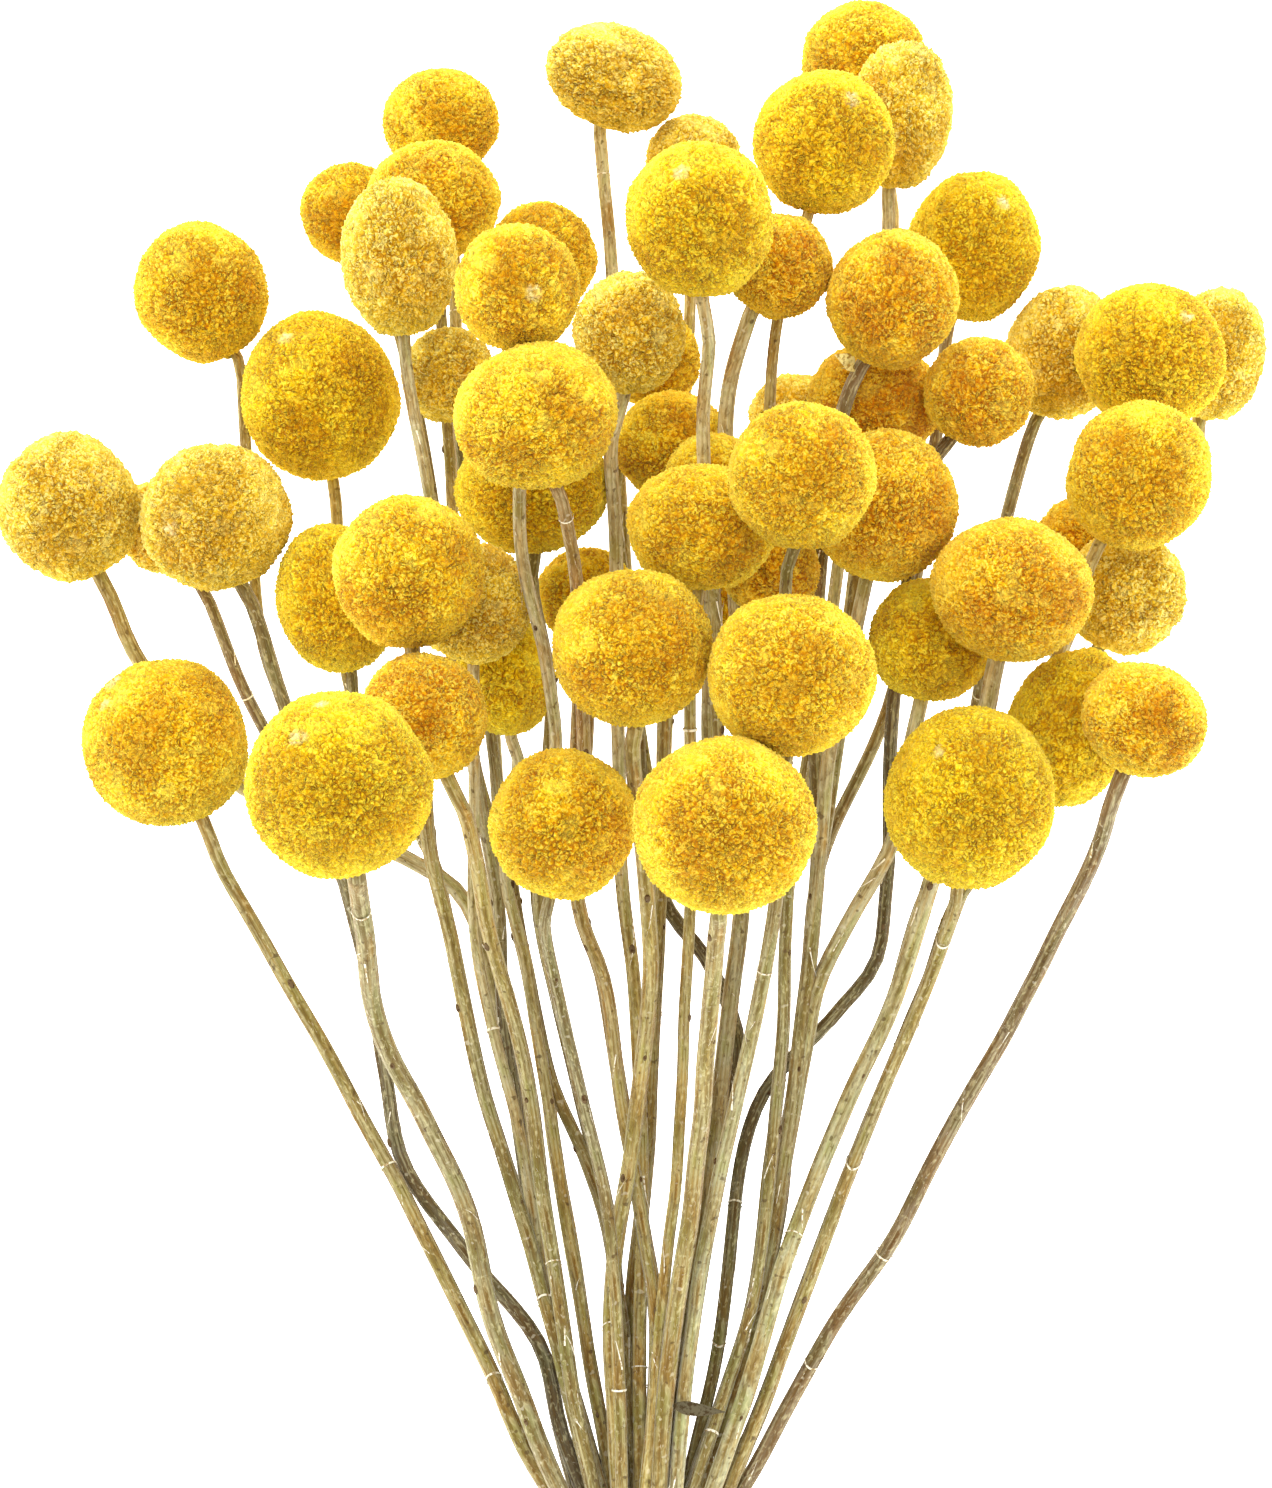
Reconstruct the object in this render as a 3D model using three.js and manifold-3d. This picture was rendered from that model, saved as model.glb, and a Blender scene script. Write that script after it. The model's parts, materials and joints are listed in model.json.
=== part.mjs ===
// Dried billy buttons: a bunch of fifty-eight ball-shaped flower heads on long thin stems,
// held by a twine tie and lying on a surface, heads towards +Y and cut ends towards -Y.
// Millimetres, +Z up.

import * as THREE from "three";
import Module from "manifold-3d";
import { ConvexHull } from "three/addons/math/ConvexHull.js";
import { mergeVertices } from "three/addons/utils/BufferGeometryUtils.js";

const wasm = await Module();
wasm.setup();

// How a place in the photograph becomes a place in the bunch: the picture looks straight down
const photo = {
  middlePx: 636,
  middlePy: 744,
  mmPerPx: 0.18,
  eyeHeight: 1250,
  planeHeight: 40,
};

// The stems where the tie gathers them, in upright columns of slots
const waist = {
  px: 646,
  py: 1610,
  columns: [4, 7, 9, 9, 9, 9, 7, 4],
  columnPitch: 2.75,
  rowPitch: 2.65,
  coreHalfWidth: 11.9,
  coreHalfHeight: 13.1,
  coreHalfLength: 5,
  rim: 1.5,
  sides: 16,
};

const tie = {
  gap: 0.3,
  grooveDepth: 0.7,
  thickness: 2.3,
  halfLength: 6.5,
  turns: 4,
  crestShare: 0.55,
};

const stems = {
  sides: 5,
  thin: 2.2,
  thick: 2.8,
  waistMost: 2.6,
  tailLength: 148,
  tailVary: 11,
  tailSplay: 1.8,
  tailLower: 0.12,
  headGap: 0.3,
  neck: 9,
  neckShare: 0.5,
  taper: 0.12,
  floorGap: 0.05,
  steps: 7,
};

const florets = {
  knobs: 25,
  pitShare: 0.87,
  baseShare: 0.9,
  lift: 0.35,
  flat: 0.4,
};

const pile = {
  gap: 0.35,
  top: 118,
  coarse: 1.5,
  fine: 0.1,
  sampleStep: 2.5,
  rise: 2.6,
  slight: 3.2,
  spreadMost: 1.8,
  spreadTurns: 60,
  near: 40,
  gapTurns: 6,
  seed: 58,
};

const tones = {
  lemon: new THREE.MeshStandardMaterial({ color: 0xf2c522, roughness: 0.92, metalness: 0 }),
  gold: new THREE.MeshStandardMaterial({ color: 0xe6a91e, roughness: 0.92, metalness: 0 }),
  mustard: new THREE.MeshStandardMaterial({ color: 0xcfa53a, roughness: 0.94, metalness: 0 }),
  amber: new THREE.MeshStandardMaterial({ color: 0xd98f1c, roughness: 0.93, metalness: 0 }),
};
const stemMaterial = new THREE.MeshStandardMaterial({ color: 0xb5a172, roughness: 0.8, metalness: 0 });
const tieMaterial = new THREE.MeshStandardMaterial({ color: 0xa98455, roughness: 0.95, metalness: 0 });

// Points of the photograph down which several stems lie one on another, from the top
const tracks = {
  paleLeft: [[364, 930], [380, 1030], [424, 1120], [467, 1210], [490, 1310], [530, 1420]],
  greyLeft: [[352, 905], [385, 1070], [402, 1160], [465, 1252], [540, 1345], [560, 1430]],
  oliveLeft: [[432, 860], [455, 960], [478, 1070], [508, 1170], [556, 1340]],
  duskLeft: [[495, 880], [503, 1000], [520, 1140], [545, 1290]],
  strawLeft: [[505, 870], [527, 970], [545, 1080], [570, 1240], [595, 1390]],
  slimLeft: [[538, 900], [558, 1000], [582, 1100], [610, 1230]],
  redLeft: [[578, 900], [603, 980], [620, 1090], [645, 1240], [657, 1330]],
  middleLeft: [[646, 880], [650, 980], [632, 1140], [612, 1290], [614, 1420]],
  middle: [[660, 890], [655, 1000], [645, 1180], [632, 1300], [630, 1420]],
  paleMiddle: [[718, 920], [706, 1060], [692, 1200], [670, 1350]],
  hairyRight: [[775, 905], [758, 1000], [732, 1120], [708, 1230], [690, 1340]],
  thinRight: [[787, 900], [784, 1010], [770, 1160], [752, 1300]],
  khakiRight: [[818, 870], [808, 970], [790, 1120], [762, 1290]],
  paleRight: [[930, 885], [890, 1010], [840, 1120], [785, 1260], [745, 1400]],
  oliveRight: [[960, 895], [925, 990], [870, 1120], [805, 1290], [748, 1440]],
};

// Every flower, from the back of the pile to the front. px and py are the middle of its head in the
// photograph, wide and tall the head's size across and along its stem in millimetres. via lists
// points of the photograph that its stem passes, from the head down, before it joins its track,
// and stem is its thickness.
const flowers = [
  { px: 1058, py: 352, wide: 21.2, tall: 25.2, tone: "mustard", track: "paleRight",
    via: [[1036, 421], [1005, 523], [975, 716]] },
  { px: 1215, py: 355, wide: 18.9, tall: 25.2, tone: "mustard", track: "oliveRight",
    via: [[1195, 450], [1120, 540], [1056, 662], [1029, 740]] },
  { px: 693, py: 160, wide: 17.3, tall: 16.2, tone: "mustard", stem: 2.25, track: "middle",
    via: [[690, 305], [685, 389], [672, 640]] },
  { px: 803, py: 427, wide: 17.0, tall: 17.0, tone: "mustard", track: "hairyRight",
    via: [[795, 520], [778, 720]] },
  { px: 545, py: 268, wide: 20.7, tall: 20.7, tone: "gold", track: "redLeft",
    via: [[560, 490], [578, 600]] },
  { px: 350, py: 212, wide: 18.5, tall: 19.1, tone: "gold", track: "duskLeft",
    via: [[388, 300], [408, 370], [432, 495], [475, 777]] },
  { px: 972, py: 242, wide: 24.8, tall: 28.4, tone: "lemon", track: "khakiRight",
    via: [[948, 328], [932, 466], [890, 700]] },
  { px: 1080, py: 545, wide: 16.5, tall: 16.5, tone: "amber", track: "paleRight",
    via: [[1056, 662], [1029, 740]] },
  { px: 441, py: 122, wide: 21.6, tall: 20.2, tone: "gold", track: "strawLeft",
    via: [[455, 290], [460, 440], [490, 700]] },
  { px: 615, py: 76, wide: 25.0, tall: 18.7, tone: "mustard", turn: 14, stem: 2.6, track: "middle",
    via: [[604, 189], [611, 270], [630, 640]] },
  { px: 200, py: 291, wide: 24.3, tall: 26.3, tone: "gold", stem: 2.25, track: "greyLeft",
    via: [[240, 365], [262, 640], [285, 710]] },
  { px: 164, py: 525, wide: 17.0, tall: 17.0, tone: "mustard", track: "paleLeft",
    via: [[208, 600], [240, 680], [268, 735]] },
  { px: 321, py: 394, wide: 29.2, tall: 31.3, tone: "lemon", stem: 2.45, track: "oliveLeft",
    via: [[335, 500], [352, 695], [400, 800]] },
  { px: 713, py: 612, wide: 16.5, tall: 16.5, tone: "gold", track: "paleMiddle",
    via: [[712, 690]] },
  { px: 442, py: 207, wide: 24.5, tall: 22.0, tone: "gold", track: "strawLeft",
    via: [[473, 754]] },
  { px: 75, py: 509, wide: 25.4, tall: 27.4, tone: "mustard", stem: 2.9,
    via: [[112, 600], [136, 656], [239, 785], [409, 860], [463, 900], [505, 1040], [545, 1290]] },
  { px: 864, py: 60, wide: 22.9, tall: 20.7, tone: "gold", track: "khakiRight",
    via: [[893, 212], [875, 400], [850, 600]] },
  { px: 904, py: 125, wide: 18.9, tall: 27.9, tone: "mustard", stem: 2.35, track: "thinRight",
    via: [[888, 228], [834, 600]] },
  { px: 645, py: 365, wide: 17.6, tall: 17.6, tone: "gold",
    via: [[616, 480], [632, 640], [650, 860], [672, 915], [708, 962], [738, 1040], [728, 1130],
      [706, 1240], [690, 1340]] },
  { px: 814, py: 150, wide: 25.7, tall: 26.1, tone: "lemon", stem: 2.2, track: "hairyRight",
    via: [[779, 312], [770, 400], [768, 640]] },
  { px: 1152, py: 355, wide: 27.7, tall: 26.1, tone: "lemon", track: "oliveRight",
    via: [[1125, 500], [1056, 662], [1029, 740]] },
  { px: 675, py: 445, wide: 21.2, tall: 19.8, tone: "gold", track: "middle",
    via: [[668, 560], [664, 740]] },
  { px: 876, py: 402, wide: 24.5, tall: 20.7, tone: "amber", track: "khakiRight",
    via: [[866, 500], [835, 760]] },
  { px: 787, py: 258, wide: 19.1, tall: 19.1, tone: "amber", stem: 3.0,
    via: [[751, 314], [727, 403], [738, 640], [742, 910], [728, 1010], [718, 1120], [700, 1260]] },
  { px: 976, py: 387, wide: 19.8, tall: 20.0, tone: "amber", stem: 2.45,
    via: [[932, 465], [893, 700], [887, 880], [877, 960], [835, 1015], [757, 1105], [718, 1350]] },
  { px: 222, py: 512, wide: 27.4, tall: 26.6, tone: "mustard", stem: 2.85, track: "greyLeft",
    via: [[248, 595], [283, 700]] },
  { px: 445, py: 365, wide: 17.0, tall: 17.0, tone: "mustard",
    via: [[460, 440], [500, 800], [527, 970], [550, 1075], [585, 1160], [612, 1250]] },
  { px: 889, py: 299, wide: 23.2, tall: 25.2, tone: "amber", stem: 2.85, track: "khakiRight",
    via: [[860, 370], [841, 421], [815, 640]] },
  { px: 578, py: 597, wide: 18.0, tall: 18.0, tone: "gold", track: "redLeft",
    via: [[586, 730]] },
  { px: 528, py: 495, wide: 27.7, tall: 24.3, tone: "lemon", track: "slimLeft",
    via: [[532, 580], [552, 704]] },
  { px: 1125, py: 590, wide: 21.6, tall: 22.5, tone: "mustard", track: "oliveRight",
    via: [[1085, 680], [1010, 830]] },
  { px: 618, py: 333, wide: 19.8, tall: 22.3, tone: "mustard",
    via: [[612, 440], [616, 561], [622, 880], [633, 980], [640, 1080], [642, 1200]] },
  { px: 401, py: 271, wide: 20.7, tall: 29.0, tone: "mustard", track: "duskLeft",
    via: [[406, 360], [430, 495], [475, 777]] },
  { px: 515, py: 672, wide: 18.0, tall: 22.5, tone: "lemon", track: "strawLeft",
    via: [[518, 760]] },
  { px: 1140, py: 475, wide: 25.9, tall: 27.7, tone: "gold", track: "paleRight",
    via: [[1092, 560], [1056, 662], [1029, 740]] },
  { px: 925, py: 632, wide: 22.7, tall: 22.5, tone: "lemon", stem: 2.85,
    via: [[892, 842], [850, 920], [820, 980], [805, 1045], [785, 1150], [765, 1270]] },
  { px: 480, py: 605, wide: 20.7, tall: 21.6, tone: "mustard",
    via: [[475, 815], [474, 930], [492, 1025], [520, 1140], [545, 1290]] },
  { px: 880, py: 518, wide: 26.3, tall: 27.4, tone: "amber", stem: 2.85, track: "khakiRight",
    via: [[830, 753]] },
  { px: 712, py: 478, wide: 17.0, tall: 17.0, tone: "gold", track: "paleMiddle",
    via: [[712, 560], [708, 740]] },
  { px: 514, py: 297, wide: 22.1, tall: 22.5, tone: "gold", track: "slimLeft",
    via: [[519, 478], [524, 560], [548, 674], [556, 748]] },
  { px: 335, py: 603, wide: 22.5, tall: 28.4, tone: "lemon", track: "oliveLeft",
    via: [[352, 695], [428, 822]] },
  { px: 707, py: 225, wide: 26.3, tall: 27.7, tone: "lemon", stem: 2.6, track: "paleMiddle",
    via: [[709, 340], [702, 435], [716, 640]] },
  { px: 541, py: 408, wide: 28.4, tall: 25.2, tone: "gold", stem: 2.45, track: "redLeft",
    via: [[558, 490], [575, 578], [584, 730]] },
  { px: 417, py: 566, wide: 27.0, tall: 27.0, tone: "gold", stem: 2.9, track: "oliveLeft",
    via: [[425, 800]] },
  { px: 1012, py: 593, wide: 28.6, tall: 25.0, tone: "amber", stem: 3.4, track: "paleRight",
    via: [[985, 716]] },
  { px: 427, py: 709, wide: 22.0, tall: 23.0, tone: "amber", stem: 2.8,
    via: [[467, 820], [487, 920], [525, 1070], [550, 1240], [575, 1400]] },
  { px: 1070, py: 727, wide: 23.4, tall: 30.2, tone: "lemon", track: "oliveRight",
    via: [[1030, 820]] },
  { px: 776, py: 572, wide: 17.5, tall: 17.5, tone: "amber", track: "hairyRight",
    via: [[778, 700]] },
  { px: 694, py: 535, wide: 26.1, tall: 22.1, tone: "gold", stem: 2.25,
    via: [[692, 640], [690, 905], [685, 1020], [676, 1180], [668, 1250]] },
  { px: 624, py: 643, wide: 27.9, tall: 27.9, tone: "gold", stem: 2.85, track: "middleLeft",
    via: [[632, 750]] },
  { px: 792, py: 471, wide: 25.9, tall: 25.9, tone: "gold", stem: 2.25, track: "thinRight",
    via: [[789, 560], [786, 700]] },
  { px: 784, py: 674, wide: 29.3, tall: 28.1, tone: "gold", stem: 2.65, track: "hairyRight",
    via: [[781, 780]] },
  { px: 564, py: 826, wide: 25.9, tall: 27.0, tone: "gold", stem: 2.35,
    via: [[544, 925], [558, 1000], [582, 1100], [610, 1230]] },
  { px: 168, py: 742, wide: 30.1, tall: 31.0, tone: "gold", stem: 2.9,
    via: [[223, 868], [318, 1037], [390, 1170], [425, 1238], [490, 1370], [520, 1440]] },
  { px: 727, py: 823, wide: 31.7, tall: 30.6, tone: "gold", stem: 3.2,
    via: [[718, 920], [706, 1060], [692, 1200], [670, 1350]] },
  { px: 1145, py: 721, wide: 22.5, tall: 19.8, tone: "amber", stem: 3.0,
    via: [[1100, 842], [1003, 1038], [950, 1130], [890, 1245], [830, 1330], [765, 1450]] },
  { px: 969, py: 800, wide: 30.2, tall: 32.4, tone: "lemon", stem: 2.5,
    via: [[957, 902], [925, 990], [870, 1120], [805, 1290], [748, 1440]] },
  { px: 340, py: 788, wide: 32.4, tall: 32.4, tone: "lemon", stem: 3.5, track: "paleLeft",
    via: [[358, 885]] },
];

// Draws between 0 and 1 from a fixed seed
function makeDraws(seed) {
  let state = seed;
  return () => {
    state = (Math.imul(state, 1664525) + 1013904223) >>> 0;
    return state / 4294967296;
  };
}

// A point of the photograph, as it lies at a height in the bunch
function photoPoint(px, py, height) {
  const scale = (photo.mmPerPx * (photo.eyeHeight - height)) / (photo.eyeHeight - photo.planeHeight);
  return new THREE.Vector3((px - photo.middlePx) * scale, (photo.middlePy - py) * scale, height);
}

// Slots of the stems in the waist: columns by the side that a flower leans to, and the first
// flowers of the list lowest in each column
const waistHeight = (waist.coreHalfHeight + tie.gap + tie.thickness) * Math.cos(Math.PI / waist.sides);
const waistMiddle = photoPoint(waist.px, waist.py, waistHeight);

function placeSlots() {
  const drawn = makeDraws(pile.seed);
  flowers.forEach((flower, index) => {
    flower.index = index;
    flower.passes = [...flower.via, ...(tracks[flower.track] ?? [])];
    const [lastPx, lastPy] = flower.passes[flower.passes.length - 1];
    flower.side = (lastPx - waist.px) / (waist.py - lastPy);
    flower.thickness = flower.stem ?? stems.thin + (stems.thick - stems.thin) * drawn();
    flower.tail = stems.tailLength + stems.tailVary * (2 * drawn() - 1);
    flower.spin = 2 * Math.PI * drawn();
  });
  const bySide = [...flowers].sort((one, other) => one.side - other.side);
  let first = 0;
  waist.columns.forEach((count, column) => {
    const members = bySide.slice(first, first + count).sort((one, other) => one.index - other.index);
    members.forEach((flower, row) => {
      flower.slotX = waistMiddle.x + (column - (waist.columns.length - 1) / 2) * waist.columnPitch;
      flower.slotZ = waistHeight + (row - (count - 1) / 2) * waist.rowPitch;
    });
    first += count;
  });
}

// The head of a flower as a spheroid whose middle is at a height on the line of sight
function headAt(flower, height) {
  const centre = photoPoint(flower.px, flower.py, height).add(flower.nudge);
  const [nextPx, nextPy] = flower.via[0];
  const turn = THREE.MathUtils.degToRad(flower.turn ?? 0);
  const lean = turn + Math.atan2(flower.px - nextPx, nextPy - flower.py);
  const axis = new THREE.Vector3(Math.sin(lean), Math.cos(lean), florets.lift).normalize();
  return { centre, axis, across: flower.wide / 2, along: flower.tall / 2 };
}

// The middle line of a stem, from its cut end up to the head, as ring middles with directions
function stemRings(flower, head) {
  const depth = florets.baseShare * head.along + stems.headGap;
  const base = head.centre.clone().addScaledVector(head.axis, -depth);
  const leave = photoPoint(...flower.via[0], base.z).sub(base);
  const neckLength = Math.min(stems.neck, stems.neckShare * leave.length());
  const neck = base.clone().addScaledVector(leave.normalize(), neckLength);
  neck.z -= florets.lift * neckLength;
  const enter = waist.coreHalfLength + waist.rim;
  const above = new THREE.Vector3(flower.slotX, waistMiddle.y + enter, flower.slotZ);
  const below = new THREE.Vector3(flower.slotX, waistMiddle.y - enter, flower.slotZ);
  const lower = stems.tailLower * (flower.slotZ - waistHeight);
  const outwards = new THREE.Vector3(flower.slotX - waistMiddle.x, 0, lower);
  const cut = below.clone().addScaledVector(outwards, stems.tailSplay - 1);
  cut.y = waistMiddle.y - flower.tail;
  const heightAt = (y) => above.z + (neck.z - above.z) * ((y - above.y) / (neck.y - above.y)) ** pile.rise;
  const points = [];
  for (const [px, py] of flower.passes) {
    const guess = photoPoint(px, py, 0);
    points.unshift(photoPoint(px, py, heightAt(guess.y)));
  }
  const curve = new THREE.CatmullRomCurve3([above, ...points, neck, base]);
  const rings = [];
  const wide = flower.thickness / 2;
  const slim = Math.min(flower.thickness, stems.waistMost) / 2;
  const straight = below.clone().sub(cut).normalize();
  rings.push({ middle: cut, along: straight, radius: slim });
  rings.push({ middle: below, along: new THREE.Vector3(0, 1, 0), radius: slim });
  for (let step = 0; step <= stems.steps; step++) {
    const share = step / stems.steps;
    const radius = step === 0 ? slim : wide * (1 - stems.taper * share);
    rings.push({ middle: curve.getPointAt(share), along: curve.getTangentAt(share), radius });
  }
  for (const ring of rings) {
    ring.middle.z = Math.max(ring.middle.z, ring.radius + stems.floorGap);
  }
  return rings;
}

// Balls along a stem that together cover it, to test what it clears
function stemBalls(rings) {
  const balls = [];
  for (let ring = 2; ring + 1 < rings.length; ring++) {
    const from = rings[ring];
    const to = rings[ring + 1];
    const count = Math.ceil(from.middle.distanceTo(to.middle) / pile.sampleStep);
    for (let step = 0; step < count; step++) {
      const centre = from.middle.clone().lerp(to.middle, step / count);
      const radius = Math.hypot(Math.max(from.radius, to.radius), pile.sampleStep / 2);
      balls.push({ centre, axis: to.along, across: radius, along: radius });
    }
  }
  return balls;
}

// The clear distance between two spheroids, below zero where they overlap: the best of the
// directions that turn step by step towards the one that holds them furthest apart
function gapBetween(one, other) {
  const most = Math.max(one.across, one.along) + Math.max(other.across, other.along) + pile.gap;
  const x = other.centre.x - one.centre.x;
  const y = other.centre.y - one.centre.y;
  const z = other.centre.z - one.centre.z;
  const distance = Math.hypot(x, y, z);
  if (distance > most) {
    return most;
  }
  let [u, v, w] = [x / distance, y / distance, z / distance];
  let gap = -Infinity;
  for (let turn = 0; turn < pile.gapTurns; turn++) {
    let [a, b, c] = [x, y, z];
    for (const { axis, across, along } of [one, other]) {
      const part = u * axis.x + v * axis.y + w * axis.z;
      const round = across * across;
      const stretch = (along * along - round) * part;
      const reach = Math.sqrt(round + stretch * part);
      a -= (round * u + stretch * axis.x) / reach;
      b -= (round * v + stretch * axis.y) / reach;
      c -= (round * w + stretch * axis.z) / reach;
    }
    const clear = a * u + b * v + c * w;
    gap = Math.max(gap, clear);
    u += (a - clear * u) / distance;
    v += (b - clear * v) / distance;
    w += (c - clear * w) / distance;
    const length = Math.hypot(u, v, w);
    [u, v, w] = [u / length, v / length, w / length];
  }
  return gap;
}

function clears(bodies, others) {
  return bodies.every((body) => others.every((other) => gapBetween(body, other) >= pile.gap));
}

// How far a head reaches below its middle
function depthOf(head) {
  const part = head.axis.z;
  return Math.sqrt(head.across ** 2 * (1 - part * part) + head.along ** 2 * part * part);
}

// Half the width of a head as the picture shows it, along a direction in the picture
function halfWidth(flower, x, y) {
  return Math.hypot(x, y) / Math.hypot(x / (flower.wide / 2), y / (flower.tall / 2));
}

// Heads that overlap only slightly in the picture are eased apart, so that they lie side by side
function spreadHeads() {
  for (const flower of flowers) {
    flower.nudge = new THREE.Vector3();
  }
  for (let turn = 0; turn < pile.spreadTurns; turn++) {
    for (const one of flowers) {
      for (const other of flowers) {
        const x = (other.px - one.px) * photo.mmPerPx + other.nudge.x - one.nudge.x;
        const y = (one.py - other.py) * photo.mmPerPx + other.nudge.y - one.nudge.y;
        const distance = Math.hypot(x, y);
        const overlap = halfWidth(one, x, y) + halfWidth(other, x, y) + pile.gap - distance;
        if (one.index < other.index && overlap > 0 && overlap < pile.slight) {
          const push = (0.25 * overlap) / distance;
          one.nudge.add(new THREE.Vector3(-push * x, -push * y, 0)).clampLength(0, pile.spreadMost);
          other.nudge.add(new THREE.Vector3(push * x, push * y, 0)).clampLength(0, pile.spreadMost);
        }
      }
    }
  }
}

// The lowest height, from above, at which a flower touches nothing that lies already
function restingHeight(flower, heads, stemsBelow) {
  const start = headAt(flower, 0).centre;
  const near = (body) => Math.hypot(body.centre.x - start.x, body.centre.y - start.y) < pile.near;
  const others = [...heads, ...stemsBelow].filter(near);
  const fits = (height) => {
    const head = headAt(flower, height);
    return (
      height >= depthOf(head) - florets.flat &&
      clears([head], others) &&
      clears(stemBalls(stemRings(flower, head)), heads)
    );
  };
  let height = pile.top;
  while (fits(height - pile.coarse)) {
    height -= pile.coarse;
  }
  while (fits(height - pile.fine)) {
    height -= pile.fine;
  }
  return height;
}

// Lowers each flower on to those behind it
function layPile() {
  const heads = [];
  const stemsBelow = [];
  for (const flower of flowers) {
    flower.head = headAt(flower, restingHeight(flower, heads, stemsBelow));
    flower.rings = stemRings(flower, flower.head);
    heads.push(flower.head);
    stemsBelow.push(...stemBalls(flower.rings));
  }
}

// Florets on a unit ball: knobs on a spiral from crown to base, with a pit between each three
function floretBall(knobs) {
  const golden = Math.PI * (3 - Math.sqrt(5));
  const tips = [];
  for (let knob = 0; knob < knobs; knob++) {
    const height = 1 - (2 * knob + 1) / knobs;
    const radius = Math.sqrt(1 - height * height);
    tips.push(new THREE.Vector3(radius * Math.cos(golden * knob), radius * Math.sin(golden * knob), height));
  }
  const hull = new ConvexHull().setFromPoints(tips);
  const points = [...tips];
  const pitOf = new Map();
  for (const face of hull.faces) {
    pitOf.set(face, points.length);
    points.push(face.midpoint.clone().normalize().multiplyScalar(florets.pitShare));
  }
  const triangles = [];
  for (const face of hull.faces) {
    let edge = face.edge;
    do {
      const from = tips.indexOf(edge.tail().point);
      const to = tips.indexOf(edge.head().point);
      if (from < to) {
        const left = pitOf.get(face);
        const right = pitOf.get(edge.twin.face);
        triangles.push(from, right, left, to, left, right);
      }
      edge = edge.next;
    } while (edge !== face.edge);
  }
  return { points, triangles };
}

function headGeometry(flower, ball) {
  const { centre, axis, across, along } = flower.head;
  const turned = new THREE.Quaternion().setFromUnitVectors(new THREE.Vector3(0, 0, 1), axis);
  const positions = [];
  for (const point of ball.points) {
    const moved = point.clone().applyAxisAngle(new THREE.Vector3(0, 0, 1), flower.spin);
    moved.z = Math.max(moved.z, -florets.baseShare);
    moved.multiply(new THREE.Vector3(across, across, along)).applyQuaternion(turned).add(centre);
    positions.push(moved.x, moved.y, Math.max(moved.z, 0));
  }
  const geometry = new THREE.BufferGeometry();
  geometry.setAttribute("position", new THREE.Float32BufferAttribute(positions, 3));
  geometry.setIndex(ball.triangles);
  geometry.computeVertexNormals();
  return geometry;
}

// A stem: a cylinder whose rings are laid along the stem's middle line
function stemGeometry(rings) {
  const steps = rings.length - 1;
  const geometry = new THREE.CylinderGeometry(1, 1, 1, stems.sides, steps, false);
  const position = geometry.attributes.position;
  for (let index = 0; index < position.count; index++) {
    const ring = rings[Math.round((position.getY(index) + 0.5) * steps)];
    const side = ring.along.clone().cross(new THREE.Vector3(0, 0, 1)).normalize();
    const third = side.clone().cross(ring.along);
    const moved = ring.middle.clone();
    moved.addScaledVector(side, position.getX(index) * ring.radius);
    moved.addScaledVector(third, position.getZ(index) * ring.radius);
    position.setXYZ(index, moved.x, moved.y, moved.z);
  }
  return geometry;
}

// A sixteen-sided drum or ring round the waist, one of its sides flat underneath
function waistTurning(profile, halfWidth, halfHeight) {
  const geometry = new THREE.LatheGeometry(profile, waist.sides, Math.PI / waist.sides);
  geometry.scale(halfWidth, 1, halfHeight);
  geometry.translate(waistMiddle.x, waistMiddle.y, waistHeight);
  return geometry;
}

function coreGeometry() {
  const half = waist.coreHalfLength;
  const profile = [[0, -half], [1, -half], [1, half], [0, half]].map(([x, y]) => new THREE.Vector2(x, y));
  return waistTurning(profile, waist.coreHalfWidth, waist.coreHalfHeight);
}

// The tie: turns of twine side by side, each a flat-topped ridge round the stems
function tieGeometry() {
  const outerHeight = waist.coreHalfHeight + tie.gap + tie.thickness;
  const outerWidth = waist.coreHalfWidth + tie.gap + tie.thickness;
  const inner = (waist.coreHalfWidth + tie.gap) / outerWidth;
  const groove = 1 - tie.grooveDepth / outerHeight;
  const pitch = (2 * tie.halfLength) / tie.turns;
  const profile = [new THREE.Vector2(inner, -tie.halfLength)];
  for (let turn = 0; turn < tie.turns; turn++) {
    const middle = -tie.halfLength + (turn + 0.5) * pitch;
    profile.push(new THREE.Vector2(groove, middle - pitch / 2));
    profile.push(new THREE.Vector2(1, middle - (pitch * tie.crestShare) / 2));
    profile.push(new THREE.Vector2(1, middle + (pitch * tie.crestShare) / 2));
  }
  profile.push(new THREE.Vector2(groove, tie.halfLength));
  profile.push(new THREE.Vector2(inner, tie.halfLength));
  profile.push(profile[0].clone());
  return waistTurning(profile, outerWidth, outerHeight);
}

// A closed geometry as a solid, and back
function toSolid(geometry) {
  const bare = geometry.clone();
  bare.deleteAttribute("normal");
  bare.deleteAttribute("uv");
  const merged = mergeVertices(bare, 1e-4);
  const vertProperties = new Float32Array(merged.attributes.position.array);
  const triVerts = new Uint32Array(merged.index.array);
  return new wasm.Manifold(new wasm.Mesh({ numProp: 3, vertProperties, triVerts }));
}

function toGeometry(solid) {
  const mesh = solid.getMesh();
  const geometry = new THREE.BufferGeometry();
  geometry.setAttribute("position", new THREE.BufferAttribute(mesh.vertProperties, 3));
  geometry.setIndex(new THREE.BufferAttribute(mesh.triVerts, 1));
  geometry.computeVertexNormals();
  return geometry;
}

function namedMesh(name, geometry, material) {
  const mesh = new THREE.Mesh(geometry, material);
  mesh.name = name;
  return mesh;
}

placeSlots();
spreadHeads();
layPile();

const bunch = new THREE.Group();
const ball = floretBall(florets.knobs);
flowers.forEach((flower, index) => {
  const name = `head_${String(index + 1).padStart(2, "0")}`;
  bunch.add(namedMesh(name, headGeometry(flower, ball), tones[flower.tone]));
});

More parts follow.
